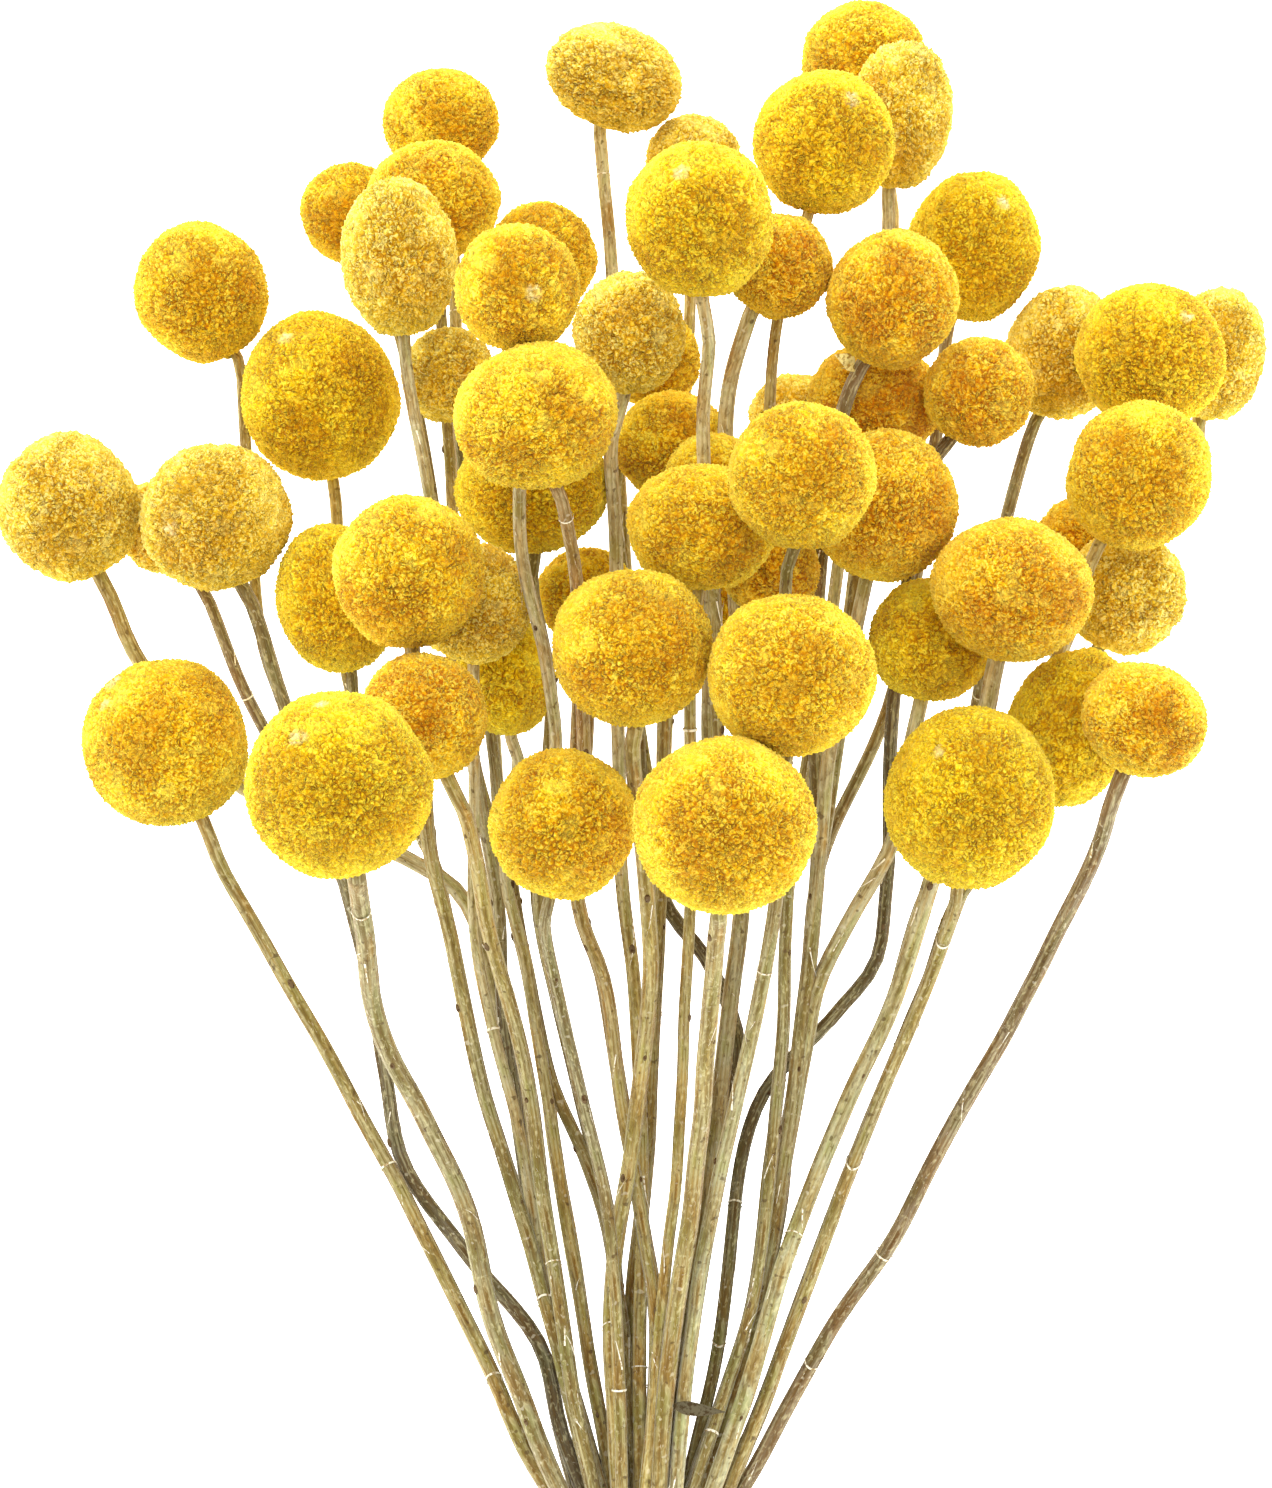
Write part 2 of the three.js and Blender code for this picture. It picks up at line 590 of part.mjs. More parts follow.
let fused = toSolid(coreGeometry());
for (const flower of flowers) {
  fused = fused.add(toSolid(stemGeometry(flower.rings)));
}
bunch.add(namedMesh("stems", toGeometry(fused), stemMaterial));
bunch.add(namedMesh("tie", tieGeometry(), tieMaterial));

// The origin is the middle of the bunch's outline on the surface that it lies on
const outline = new THREE.Box3().setFromObject(bunch);
const middle = outline.getCenter(new THREE.Vector3());
bunch.position.set(-middle.x, -middle.y, -outline.min.z);

const group = new THREE.Group();
group.add(bunch);
export default group;
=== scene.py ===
import json
import math
import random
import time

import bpy
import bmesh
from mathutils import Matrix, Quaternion, Vector, kdtree, noise


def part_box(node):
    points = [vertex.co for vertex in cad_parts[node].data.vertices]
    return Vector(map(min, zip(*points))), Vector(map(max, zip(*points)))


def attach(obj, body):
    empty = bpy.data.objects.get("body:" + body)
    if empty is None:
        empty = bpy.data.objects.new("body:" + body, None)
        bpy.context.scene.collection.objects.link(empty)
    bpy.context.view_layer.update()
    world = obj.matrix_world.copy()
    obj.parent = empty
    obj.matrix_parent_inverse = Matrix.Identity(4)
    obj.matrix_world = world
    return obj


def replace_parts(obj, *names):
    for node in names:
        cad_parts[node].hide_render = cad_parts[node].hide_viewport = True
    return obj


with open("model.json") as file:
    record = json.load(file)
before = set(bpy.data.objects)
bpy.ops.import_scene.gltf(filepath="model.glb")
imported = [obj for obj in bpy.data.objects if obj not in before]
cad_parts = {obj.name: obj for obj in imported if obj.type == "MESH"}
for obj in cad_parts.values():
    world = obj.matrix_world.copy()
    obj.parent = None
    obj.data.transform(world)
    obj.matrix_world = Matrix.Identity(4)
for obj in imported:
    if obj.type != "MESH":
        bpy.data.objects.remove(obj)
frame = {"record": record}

started = time.time()
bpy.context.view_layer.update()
scene = bpy.context.scene
up = Vector((0, 0, 1))


def stageDone(name):
    print(f"{name}: {time.time() - started:.1f} s", flush=True)


# The bunch lies on z = 0 and the picture looks straight down on it. The waist is where the tie is.
photo = {"middle": (636, 744), "scale": 0.00018, "eye": 1.25, "plane": 0.04}
waist = {"at": (646, 1610), "columns": [4, 7, 9, 9, 9, 9, 7, 4], "columnPitch": 0.00275,
         "rowPitch": 0.00265, "enter": 0.0065, "splay": 1.8, "lower": 0.12}
tieLow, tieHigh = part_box("tie")
waistMiddle = (tieLow + tieHigh) / 2


def photoOffset(at, height):
    scale = photo["scale"] * (photo["eye"] - height) / (photo["eye"] - photo["plane"])
    return Vector(((at[0] - photo["middle"][0]) * scale, (photo["middle"][1] - at[1]) * scale, height))


origin = waistMiddle - photoOffset(waist["at"], waistMiddle.z)


def photoPoint(at, height):
    return origin + photoOffset(at, height)


# Camera and light
camera = bpy.data.objects.new("camera", bpy.data.cameras.new("camera"))
camera.data.lens = 36 * (photo["eye"] - photo["plane"]) / (2 * photo["middle"][1] * photo["scale"])
camera.data.clip_start = 0.1
camera.data.clip_end = 10
camera.location = (origin.x, origin.y, photo["eye"])
scene.collection.objects.link(camera)
scene.camera = camera

light = {
    "world": 0.95,
    "suns": [
        {"from": (-0.25, 0.85, 0.6), "strength": 1.7, "angle": 60},
        {"from": (-1.0, -0.2, 0.35), "strength": 1.0, "angle": 70},
        {"from": (1.0, -0.1, 0.35), "strength": 0.95, "angle": 70},
        {"from": (0.1, -1.0, 0.45), "strength": 0.6, "angle": 70},
        {"from": (0.0, 0.15, 1.0), "strength": 1.0, "angle": 30},
    ],
    "floorGlow": 2.6,
    "floorTone": 0.8,
}
scene.view_settings.view_transform = "Standard"
scene.world = bpy.data.worlds.new("world")
scene.world.use_nodes = True
background = scene.world.node_tree.nodes["Background"]
background.inputs["Color"].default_value = (1, 1, 1, 1)
background.inputs["Strength"].default_value = light["world"]
for index, entry in enumerate(light["suns"]):
    sun = bpy.data.objects.new(f"sun_{index + 1}", bpy.data.lights.new("sun", "SUN"))
    sun.data.energy = entry["strength"]
    sun.data.angle = math.radians(entry["angle"])
    sun.rotation_mode = "QUATERNION"
    sun.rotation_quaternion = Vector(entry["from"]).to_track_quat("Z", "Y")
    scene.collection.objects.link(sun)


def srgb(r, g, b):
    return tuple(((v / 255 + 0.055) / 1.055) ** 2.4 if v > 10 else v / 255 / 12.92 for v in (r, g, b)) + (1,)


# Node materials: small helpers, then one recipe for each thing
class Recipe:
    def __init__(self, name, roughness, specular=0.25):
        self.material = bpy.data.materials.new(name)
        self.material.use_nodes = True
        self.nodes = self.material.node_tree.nodes
        self.links = self.material.node_tree.links
        self.shader = self.nodes["Principled BSDF"]
        self.shader.inputs["Roughness"].default_value = roughness
        self.shader.inputs["Specular IOR Level"].default_value = specular
        self.place = self.nodes.new("ShaderNodeTexCoord").outputs["Object"]

    def feed(self, value, socket):
        if hasattr(value, "links"):
            self.links.new(value, socket)
        else:
            socket.default_value = value

    def attribute(self, name, output="Fac"):
        node = self.nodes.new("ShaderNodeAttribute")
        node.attribute_name = name
        return node.outputs[output]

    def split(self, vector):
        node = self.nodes.new("ShaderNodeSeparateXYZ")
        self.feed(vector, node.inputs["Vector"])
        return node.outputs["X"], node.outputs["Y"], node.outputs["Z"]

    def mix(self, factor, first, second, way="MIX"):
        node = self.nodes.new("ShaderNodeMix")
        node.data_type = "RGBA"
        node.blend_type = way
        self.feed(factor, node.inputs["Factor"])
        self.feed(first, node.inputs["A"])
        self.feed(second, node.inputs["B"])
        return node.outputs["Result"]

    def ramp(self, value, low, high, start=0.0, end=1.0):
        node = self.nodes.new("ShaderNodeMapRange")
        self.feed(value, node.inputs["Value"])
        for name, number in (("From Min", low), ("From Max", high), ("To Min", start), ("To Max", end)):
            node.inputs[name].default_value = number
        return node.outputs["Result"]

    def times(self, first, second, way="MULTIPLY"):
        node = self.nodes.new("ShaderNodeMath")
        node.operation = way
        self.feed(first, node.inputs[0])
        self.feed(second, node.inputs[1])
        return node.outputs["Value"]

    def cloud(self, scale, detail=2.0, stretch=None, place=None, twist=0.0):
        node = self.nodes.new("ShaderNodeTexNoise")
        node.inputs["Scale"].default_value = scale
        node.inputs["Detail"].default_value = detail
        node.inputs["Distortion"].default_value = twist
        source = place or self.place
        if stretch:
            mapping = self.nodes.new("ShaderNodeMapping")
            mapping.inputs["Scale"].default_value = stretch
            self.feed(source, mapping.inputs["Vector"])
            source = mapping.outputs["Vector"]
        self.feed(source, node.inputs["Vector"])
        return node.outputs["Fac"]

    def bump(self, height, distance, strength=1.0):
        node = self.nodes.new("ShaderNodeBump")
        node.inputs["Distance"].default_value = distance
        node.inputs["Strength"].default_value = strength
        self.feed(height, node.inputs["Height"])
        self.feed(node.outputs["Normal"], self.shader.inputs["Normal"])

    def colour(self, value):
        self.feed(value, self.shader.inputs["Base Color"])
        return self.material


def finishPiece(name, bm, material):
    mesh = bpy.data.meshes.new(name)
    bm.to_mesh(mesh)
    bm.free()
    mesh.materials.append(material)
    mesh.polygons.foreach_set("use_smooth", [True] * len(mesh.polygons))
    piece = bpy.data.objects.new(name, mesh)
    scene.collection.objects.link(piece)
    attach(piece, "root")
    return piece


# Points of the photograph down which several stems lie one on another, from the top
tracks = {
    "paleLeft": [(364, 930), (380, 1030), (424, 1120), (467, 1210), (490, 1310), (530, 1420)],
    "greyLeft": [(352, 905), (385, 1070), (402, 1160), (465, 1252), (540, 1345), (560, 1430)],
    "oliveLeft": [(432, 860), (455, 960), (478, 1070), (508, 1170), (556, 1340)],
    "duskLeft": [(495, 880), (503, 1000), (520, 1140), (545, 1290)],
    "strawLeft": [(505, 870), (527, 970), (545, 1080), (570, 1240), (595, 1390)],
    "slimLeft": [(538, 900), (558, 1000), (582, 1100), (610, 1230)],
    "redLeft": [(578, 900), (603, 980), (620, 1090), (645, 1240), (657, 1330)],
    "middleLeft": [(646, 880), (650, 980), (632, 1140), (612, 1290), (614, 1420)],
    "middle": [(660, 890), (655, 1000), (645, 1180), (632, 1300), (630, 1420)],
    "paleMiddle": [(718, 920), (706, 1060), (692, 1200), (670, 1350)],
    "hairyRight": [(775, 905), (758, 1000), (732, 1120), (708, 1230), (690, 1340)],
    "thinRight": [(787, 900), (784, 1010), (770, 1160), (752, 1300)],
    "khakiRight": [(818, 870), (808, 970), (790, 1120), (762, 1290)],
    "paleRight": [(930, 885), (890, 1010), (840, 1120), (785, 1260), (745, 1400)],
    "oliveRight": [(960, 895), (925, 990), (870, 1120), (805, 1290), (748, 1440)],
}

# Every flower, from the back of the pile to the front: its head's middle in the photograph, its size
# across and along the stem in millimetres, the points that its stem passes before it joins its
# track, and the stem's thickness
flowers = [
    {"at": (1058, 352), "wide": 21.2, "tall": 25.2, "track": "paleRight", "look": ("grey", "pale"),
     "via": [(1036, 421), (1005, 523), (975, 716)]},
    {"at": (1215, 355), "wide": 18.9, "tall": 25.2, "track": "oliveRight", "look": ("straw", "olive"),
     "via": [(1195, 450), (1120, 540), (1056, 662), (1029, 740)]},
    {"at": (693, 160), "wide": 17.3, "tall": 16.2, "stem": 2.25, "track": "middle",
     "look": ("straw", "straw"),
     "via": [(690, 305), (685, 389), (672, 640)]},
    {"at": (803, 427), "wide": 17.0, "tall": 17.0, "track": "hairyRight", "look": ("brown", "khaki"),
     "via": [(795, 520), (778, 720)]},
    {"at": (545, 268), "wide": 20.7, "tall": 20.7, "track": "redLeft", "look": ("reddish", "reddish"),
     "via": [(560, 490), (578, 600)]},
    {"at": (350, 212), "wide": 18.5, "tall": 19.1, "track": "duskLeft", "look": ("grey", "dark"),
     "via": [(388, 300), (408, 370), (432, 495), (475, 777)]},
    {"at": (972, 242), "wide": 24.8, "tall": 28.4, "track": "khakiRight", "look": ("brown", "khaki"),
     "via": [(948, 328), (932, 466), (890, 700)]},
    {"at": (1080, 545), "wide": 16.5, "tall": 16.5, "track": "paleRight", "look": ("grey", "grey"),
     "via": [(1056, 662), (1029, 740)]},
    {"at": (441, 122), "wide": 21.6, "tall": 20.2, "track": "strawLeft", "look": ("straw", "golden"),
     "via": [(455, 290), (460, 440), (490, 700)]},
    {"at": (615, 76), "wide": 25.0, "tall": 18.7, "turn": 14, "stem": 2.6, "track": "middle",
     "look": ("pale", "straw"),
     "via": [(604, 189), (611, 270), (630, 640)]},
    {"at": (200, 291), "wide": 24.3, "tall": 26.3, "stem": 2.25, "track": "greyLeft",
     "look": ("golden", "dark"),
     "via": [(240, 365), (262, 640), (285, 710)]},
    {"at": (164, 525), "wide": 17.0, "tall": 17.0, "track": "paleLeft", "look": ("brown", "golden"),
     "via": [(208, 600), (240, 680), (268, 735)]},
    {"at": (321, 394), "wide": 29.2, "tall": 31.3, "stem": 2.45, "track": "oliveLeft",
     "look": ("straw", "olive"),
     "via": [(335, 500), (352, 695), (400, 800)]},
    {"at": (713, 612), "wide": 16.5, "tall": 16.5, "track": "paleMiddle", "look": ("straw", "straw"),
     "via": [(712, 690)]},
    {"at": (442, 207), "wide": 24.5, "tall": 22.0, "track": "strawLeft", "look": ("golden", "straw"),
     "via": [(473, 754)]},
    {"at": (75, 509), "wide": 25.4, "tall": 27.4, "stem": 2.9, "look": ("golden", "pale"),
     "via": [(112, 600), (136, 656), (239, 785), (409, 860), (463, 900), (505, 1040), (545, 1290)]},
    {"at": (864, 60), "wide": 22.9, "tall": 20.7, "track": "khakiRight", "look": ("pale", "straw"),
     "via": [(893, 212), (875, 400), (850, 600)]},
    {"at": (904, 125), "wide": 18.9, "tall": 27.9, "stem": 2.35, "track": "thinRight",
     "look": ("pale", "straw"),
     "via": [(888, 228), (834, 600)]},
    {"at": (645, 365), "wide": 17.6, "tall": 17.6, "look": ("olive", "dark"),
     "via": [(616, 480), (632, 640), (650, 860), (672, 915), (708, 962), (738, 1040), (728, 1130),
      (706, 1240), (690, 1340)]},
    {"at": (814, 150), "wide": 25.7, "tall": 26.1, "stem": 2.2, "track": "hairyRight",
     "look": ("straw", "straw"),
     "via": [(779, 312), (770, 400), (768, 640)]},
    {"at": (1152, 355), "wide": 27.7, "tall": 26.1, "track": "oliveRight", "look": ("pale", "straw"),
     "via": [(1125, 500), (1056, 662), (1029, 740)]},
    {"at": (675, 445), "wide": 21.2, "tall": 19.8, "track": "middle", "look": ("straw", "straw"),
     "via": [(668, 560), (664, 740)]},
    {"at": (876, 402), "wide": 24.5, "tall": 20.7, "track": "khakiRight", "look": ("khaki", "olive"),
     "via": [(866, 500), (835, 760)]},
    {"at": (787, 258), "wide": 19.1, "tall": 19.1, "stem": 3.0, "look": ("pale", "pale"),
     "via": [(751, 314), (727, 403), (738, 640), (742, 910), (728, 1010), (718, 1120), (700, 1260)]},
    {"at": (976, 387), "wide": 19.8, "tall": 20.0, "stem": 2.45, "look": ("dark", "olive"), "fade": 0.56,
     "via": [(932, 465), (893, 700), (887, 880), (877, 960), (835, 1015), (757, 1105), (718, 1350)]},
    {"at": (222, 512), "wide": 27.4, "tall": 26.6, "stem": 2.85, "track": "greyLeft",
     "look": ("grey", "dark"),
     "via": [(248, 595), (283, 700)]},
    {"at": (445, 365), "wide": 17.0, "tall": 17.0, "look": ("grey", "khaki"),
     "via": [(460, 440), (500, 800), (527, 970), (550, 1075), (585, 1160), (612, 1250)]},
    {"at": (889, 299), "wide": 23.2, "tall": 25.2, "stem": 2.85, "track": "khakiRight",
     "look": ("brown", "khaki"),
     "via": [(860, 370), (841, 421), (815, 640)]},
    {"at": (578, 597), "wide": 18.0, "tall": 18.0, "track": "redLeft", "look": ("reddish", "reddish"),
     "via": [(586, 730)]},
    {"at": (528, 495), "wide": 27.7, "tall": 24.3, "track": "slimLeft", "look": ("olive", "olive"),
     "via": [(532, 580), (552, 704)]},
    {"at": (1125, 590), "wide": 21.6, "tall": 22.5, "track": "oliveRight", "look": ("olive", "olive"),
     "via": [(1085, 680), (1010, 830)]},
    {"at": (618, 333), "wide": 19.8, "tall": 22.3, "look": ("pale", "straw"),
     "via": [(612, 440), (616, 561), (622, 880), (633, 980), (640, 1080), (642, 1200)]},
    {"at": (401, 271), "wide": 20.7, "tall": 29.0, "track": "duskLeft", "look": ("pale", "dark"),
     "via": [(406, 360), (430, 495), (475, 777)]},
    {"at": (515, 672), "wide": 18.0, "tall": 22.5, "track": "strawLeft", "look": ("pale", "straw"),
     "via": [(518, 760)]},
    {"at": (1140, 475), "wide": 25.9, "tall": 27.7, "track": "paleRight", "look": ("straw", "pale"),
     "via": [(1092, 560), (1056, 662), (1029, 740)]},
    {"at": (925, 632), "wide": 22.7, "tall": 22.5, "stem": 2.85, "look": ("pale", "paleGrey"),
     "via": [(892, 842), (850, 920), (820, 980), (805, 1045), (785, 1150), (765, 1270)]},
    {"at": (480, 605), "wide": 20.7, "tall": 21.6, "look": ("pale", "pale"),
     "via": [(475, 815), (474, 930), (492, 1025), (520, 1140), (545, 1290)]},
    {"at": (880, 518), "wide": 26.3, "tall": 27.4, "stem": 2.85, "track": "khakiRight",
     "look": ("pale", "khaki"),
     "via": [(830, 753)]},
    {"at": (712, 478), "wide": 17.0, "tall": 17.0, "track": "paleMiddle", "look": ("pale", "straw"),
     "via": [(712, 560), (708, 740)]},
    {"at": (514, 297), "wide": 22.1, "tall": 22.5, "track": "slimLeft", "look": ("pale", "olive"),
     "via": [(519, 478), (524, 560), (548, 674), (556, 748)]},
    {"at": (335, 603), "wide": 22.5, "tall": 28.4, "track": "oliveLeft", "look": ("grey", "olive"),
     "via": [(352, 695), (428, 822)]},
    {"at": (707, 225), "wide": 26.3, "tall": 27.7, "stem": 2.6, "track": "paleMiddle",
     "look": ("pale", "straw"),
     "via": [(709, 340), (702, 435), (716, 640)]},
    {"at": (541, 408), "wide": 28.4, "tall": 25.2, "stem": 2.45, "track": "redLeft",
     "look": ("reddish", "straw"),
     "via": [(558, 490), (575, 578), (584, 730)]},
    {"at": (417, 566), "wide": 27.0, "tall": 27.0, "stem": 2.9, "track": "oliveLeft",
     "look": ("golden", "olive"),
     "via": [(425, 800)]},
    {"at": (1012, 593), "wide": 28.6, "tall": 25.0, "stem": 3.4, "track": "paleRight",
     "look": ("pale", "paleGrey"),
     "via": [(985, 716)]},
    {"at": (427, 709), "wide": 22.0, "tall": 23.0, "stem": 2.8, "look": ("straw", "olive"),
     "via": [(467, 820), (487, 920), (525, 1070), (550, 1240), (575, 1400)]},
    {"at": (1070, 727), "wide": 23.4, "tall": 30.2, "track": "oliveRight", "look": ("olive", "straw"),
     "via": [(1030, 820)]},
    {"at": (776, 572), "wide": 17.5, "tall": 17.5, "track": "hairyRight", "look": ("brown", "khaki"),
     "via": [(778, 700)]},
    {"at": (694, 535), "wide": 26.1, "tall": 22.1, "stem": 2.25, "look": ("straw", "straw"),
     "via": [(692, 640), (690, 905), (685, 1020), (676, 1180), (668, 1250)]},
    {"at": (624, 643), "wide": 27.9, "tall": 27.9, "stem": 2.85, "track": "middleLeft",
     "look": ("straw", "straw"),
     "via": [(632, 750)]},
    {"at": (792, 471), "wide": 25.9, "tall": 25.9, "stem": 2.25, "track": "thinRight",
     "look": ("olive", "olive"),
     "via": [(789, 560), (786, 700)]},
    {"at": (784, 674), "wide": 29.3, "tall": 28.1, "stem": 2.65, "track": "hairyRight",
     "look": ("khaki", "paleGrey"),
     "via": [(781, 780)]},
    {"at": (564, 826), "wide": 25.9, "tall": 27.0, "stem": 2.35, "look": ("grey", "golden"),
     "via": [(544, 925), (558, 1000), (582, 1100), (610, 1230)]},
    {"at": (168, 742), "wide": 30.1, "tall": 31.0, "stem": 2.9, "look": ("golden", "golden"),
     "via": [(223, 868), (318, 1037), (390, 1170), (425, 1238), (490, 1370), (520, 1440)]},
    {"at": (727, 823), "wide": 31.7, "tall": 30.6, "stem": 3.2, "look": ("golden", "golden"),
     "via": [(718, 920), (706, 1060), (692, 1200), (670, 1350)]},
    {"at": (1145, 721), "wide": 22.5, "tall": 19.8, "stem": 3.0, "look": ("brown", "brown"),
     "via": [(1100, 842), (1003, 1038), (950, 1130), (890, 1245), (830, 1330), (765, 1450)]},
    {"at": (969, 800), "wide": 30.2, "tall": 32.4, "stem": 2.5, "look": ("golden", "golden"),
     "via": [(957, 902), (925, 990), (870, 1120), (805, 1290), (748, 1440)]},
    {"at": (340, 788), "wide": 32.4, "tall": 32.4, "stem": 3.5, "track": "paleLeft", "look": ("sage", "sage"),
     "via": [(358, 885)]},
]


def makeDraws(seed):
    state = seed
    while True:
        state = (state * 1664525 + 1013904223) % 2 ** 32
        yield state / 2 ** 32


# Where each stem passes the waist, and how its head lies
stemSizes = {"thin": 2.2, "thick": 2.8, "waistMost": 2.6, "tail": 148, "tailVary": 11,
             "neck": 0.009, "neckShare": 0.5, "headGap": 0.0003, "baseShare": 0.9,
             "inHead": 0.0014, "lift": 0.35, "rise": 2.6, "taper": 0.12, "floorGap": 0.00005, "seed": 58}


def placeFlowers():
    s = stemSizes
    drawn = makeDraws(s["seed"])
    for index, flower in enumerate(flowers):
        flower["index"] = index
        flower["name"] = f"head_{index + 1:02d}"
        flower["passes"] = flower["via"] + tracks.get(flower.get("track"), [])
        last = flower["passes"][-1]
        flower["side"] = (last[0] - waist["at"][0]) / (waist["at"][1] - last[1])
        thickness = flower.get("stem") or s["thin"] + (s["thick"] - s["thin"]) * next(drawn)
        flower["radius"] = thickness / 2000
        flower["tail"] = (s["tail"] + s["tailVary"] * (2 * next(drawn) - 1)) / 1000
        flower["spin"] = 2 * math.pi * next(drawn)
        low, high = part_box(flower["name"])
        flower["centre"] = (low + high) / 2
        after = flower["via"][0]
        lean = math.atan2(flower["at"][0] - after[0], after[1] - flower["at"][1])
        lean += math.radians(flower.get("turn", 0))
        flower["axis"] = Vector((math.sin(lean), math.cos(lean), s["lift"])).normalized()
        flower["across"] = flower["wide"] / 2000
        flower["along"] = flower["tall"] / 2000
    bySide = sorted(flowers, key=lambda flower: flower["side"])
    first = 0
    for column, count in enumerate(waist["columns"]):
        members = sorted(bySide[first:first + count], key=lambda flower: flower["index"])
        for row, flower in enumerate(members):
            x = waistMiddle.x + (column - (len(waist["columns"]) - 1) / 2) * waist["columnPitch"]
            z = waistMiddle.z + (row - (count - 1) / 2) * waist["rowPitch"]
            flower["slot"] = Vector((x, waistMiddle.y, z))
        first += count


placeFlowers()


# A point of a smooth curve through points, at a share of the way from the second to the third
def curvePoint(four, share):
    gaps = [max((four[k + 1] - four[k]).length ** 0.5, 1e-6) for k in range(3)]
    start = (four[1] - four[0]) / gaps[0] - (four[2] - four[0]) / (gaps[0] + gaps[1])
    start = (start + (four[2] - four[1]) / gaps[1]) * gaps[1]
    end = (four[2] - four[1]) / gaps[1] - (four[3] - four[1]) / (gaps[1] + gaps[2])
    end = (end + (four[3] - four[2]) / gaps[2]) * gaps[1]
    square = (four[2] - four[1]) * 3 - start * 2 - end
    cube = (four[1] - four[2]) * 2 + start + end
    return four[1] + start * share + square * share ** 2 + cube * share ** 3


def curveThrough(points, spacing, parts=24):
    full = [points[0] * 2 - points[1], *points, points[-1] * 2 - points[-2]]
    rough = []
    for k in range(len(points) - 1):
        rough += [curvePoint(full[k:k + 4], step / parts) for step in range(parts)]
    rough.append(points[-1])
    lengths = [0.0]
    for one, other in zip(rough, rough[1:]):
        lengths.append(lengths[-1] + (other - one).length)
    count = max(2, round(lengths[-1] / spacing))
    path, at = [], 0
    for step in range(count + 1):
        target = lengths[-1] * step / count
        while at < len(lengths) - 2 and lengths[at + 1] < target:
            at += 1
        share = (target - lengths[at]) / max(lengths[at + 1] - lengths[at], 1e-9)
        path.append(rough[at].lerp(rough[at + 1], share))
    return path


# The middle line of a stem, from its cut end up into its head
def stemPath(flower, spacing):
    s = stemSizes
    centre, axis, slot = flower["centre"], flower["axis"], flower["slot"]
    base = centre - axis * (s["baseShare"] * flower["along"] + s["headGap"])
    leave = photoPoint(flower["via"][0], base.z) - base
    neckLength = min(s["neck"], s["neckShare"] * leave.length)
    neck = base + leave.normalized() * neckLength - up * (s["lift"] * neckLength)
    above = slot + Vector((0, waist["enter"], 0))
    below = slot - Vector((0, waist["enter"], 0))
    away = Vector((slot.x - waistMiddle.x, 0, waist["lower"] * (slot.z - waistMiddle.z)))
    cut = below + away * (waist["splay"] - 1)
    cut.y = waistMiddle.y - flower["tail"]

    def heightAt(y):
        share = (y - above.y) / (neck.y - above.y)
        return above.z + (neck.z - above.z) * share ** s["rise"]

    points = []
    for at in flower["passes"]:
        points.insert(0, photoPoint(at, heightAt(photoPoint(at, 0).y)))
    inside = base + axis * s["inHead"]
    return curveThrough([cut, cut.lerp(below, 0.5), below, above, *points, neck, base, inside], spacing)


# Flower heads: a ball packed with tiny florets, each a knob with pits round it; the pits are painted dark as
# painted shade and the knob tops paler as painted highlight
headSettings = {
    "area": 0.85e-6, "jitter": 0.65, "pit": 0.0008, "pitVary": 0.55, "tip": 0.00015,
    "lump": 0.022, "lumpScale": 1.7, "openTo": (0.08, -0.25, 0.96), "open": (0.24, 0.6, 0.5),
    "openLeast": 0.2, "clumpJitter": 0.45, "clumpShare": 0.62, "clumpEdge": 0.12,
    "pitLeast": 0.3, "shadeTop": 0.66, "shadeDrop": 0.64, "shadeLeast": 0.12, "knobShade": (0.7, 1),
    "tuftReach": (0.0016, 0.0024), "tuftRise": 0.00025, "tuftPatch": (0.1, 1.6),
}
# Places in the photograph where a head has a pale soft tuft
headTufts = {
    (707, 225): [(688, 185)], (814, 150): [(840, 110)], (972, 242): [(1000, 206)],
    (969, 800): [(935, 755)], (340, 788): [(303, 742), (324, 710)],
    (168, 742): [(108, 705), (116, 682)], (222, 512): [(180, 525)], (164, 525): [(138, 522)],
    (321, 394): [(287, 340)], (514, 297): [(531, 306)], (1152, 355): [(1186, 316)],
}
# Colours of each kind: pit is painted shade for the pits, tip a painted highlight for the knob tops, grain
# both random grain and painted shade
headKinds = {
    "lemon_florets": {"clump": 0.00012, "clumpSize": 0.0030, "pit": (146, 82, 0),
                      "mid": (242, 203, 2), "tip": (255, 238, 72), "grainAndShade": (202, 144, 0)},
    "gold_florets": {"clump": 0.00014, "clumpSize": 0.0030, "pit": (146, 76, 0),
                     "mid": (244, 201, 8), "tip": (255, 237, 86), "grainAndShade": (206, 138, 0)},
    "mustard_florets": {"clump": 0.00045, "clumpSize": 0.0025, "pit": (136, 78, 0),
                        "mid": (246, 210, 50), "tip": (255, 244, 146), "grainAndShade": (206, 152, 14)},
    "amber_florets": {"clump": 0.00018, "clumpSize": 0.0028, "pit": (146, 68, 0),
                      "mid": (244, 195, 8), "tip": (255, 233, 92), "grainAndShade": (206, 128, 0)},
}


def spiralPoints(count, jitter, draws):
    golden = math.pi * (3 - math.sqrt(5))
    reach = math.sqrt(4 * math.pi / count) * jitter
    points = []
    for k in range(count):
        height = 1 - (2 * k + 1) / count
        side = math.sqrt(1 - height * height)
        shift = Vector([draws.uniform(-reach, reach) for _ in range(3)])
        spot = Vector((side * math.cos(golden * k), side * math.sin(golden * k), height))
        points.append((spot + shift).normalized())
    return points


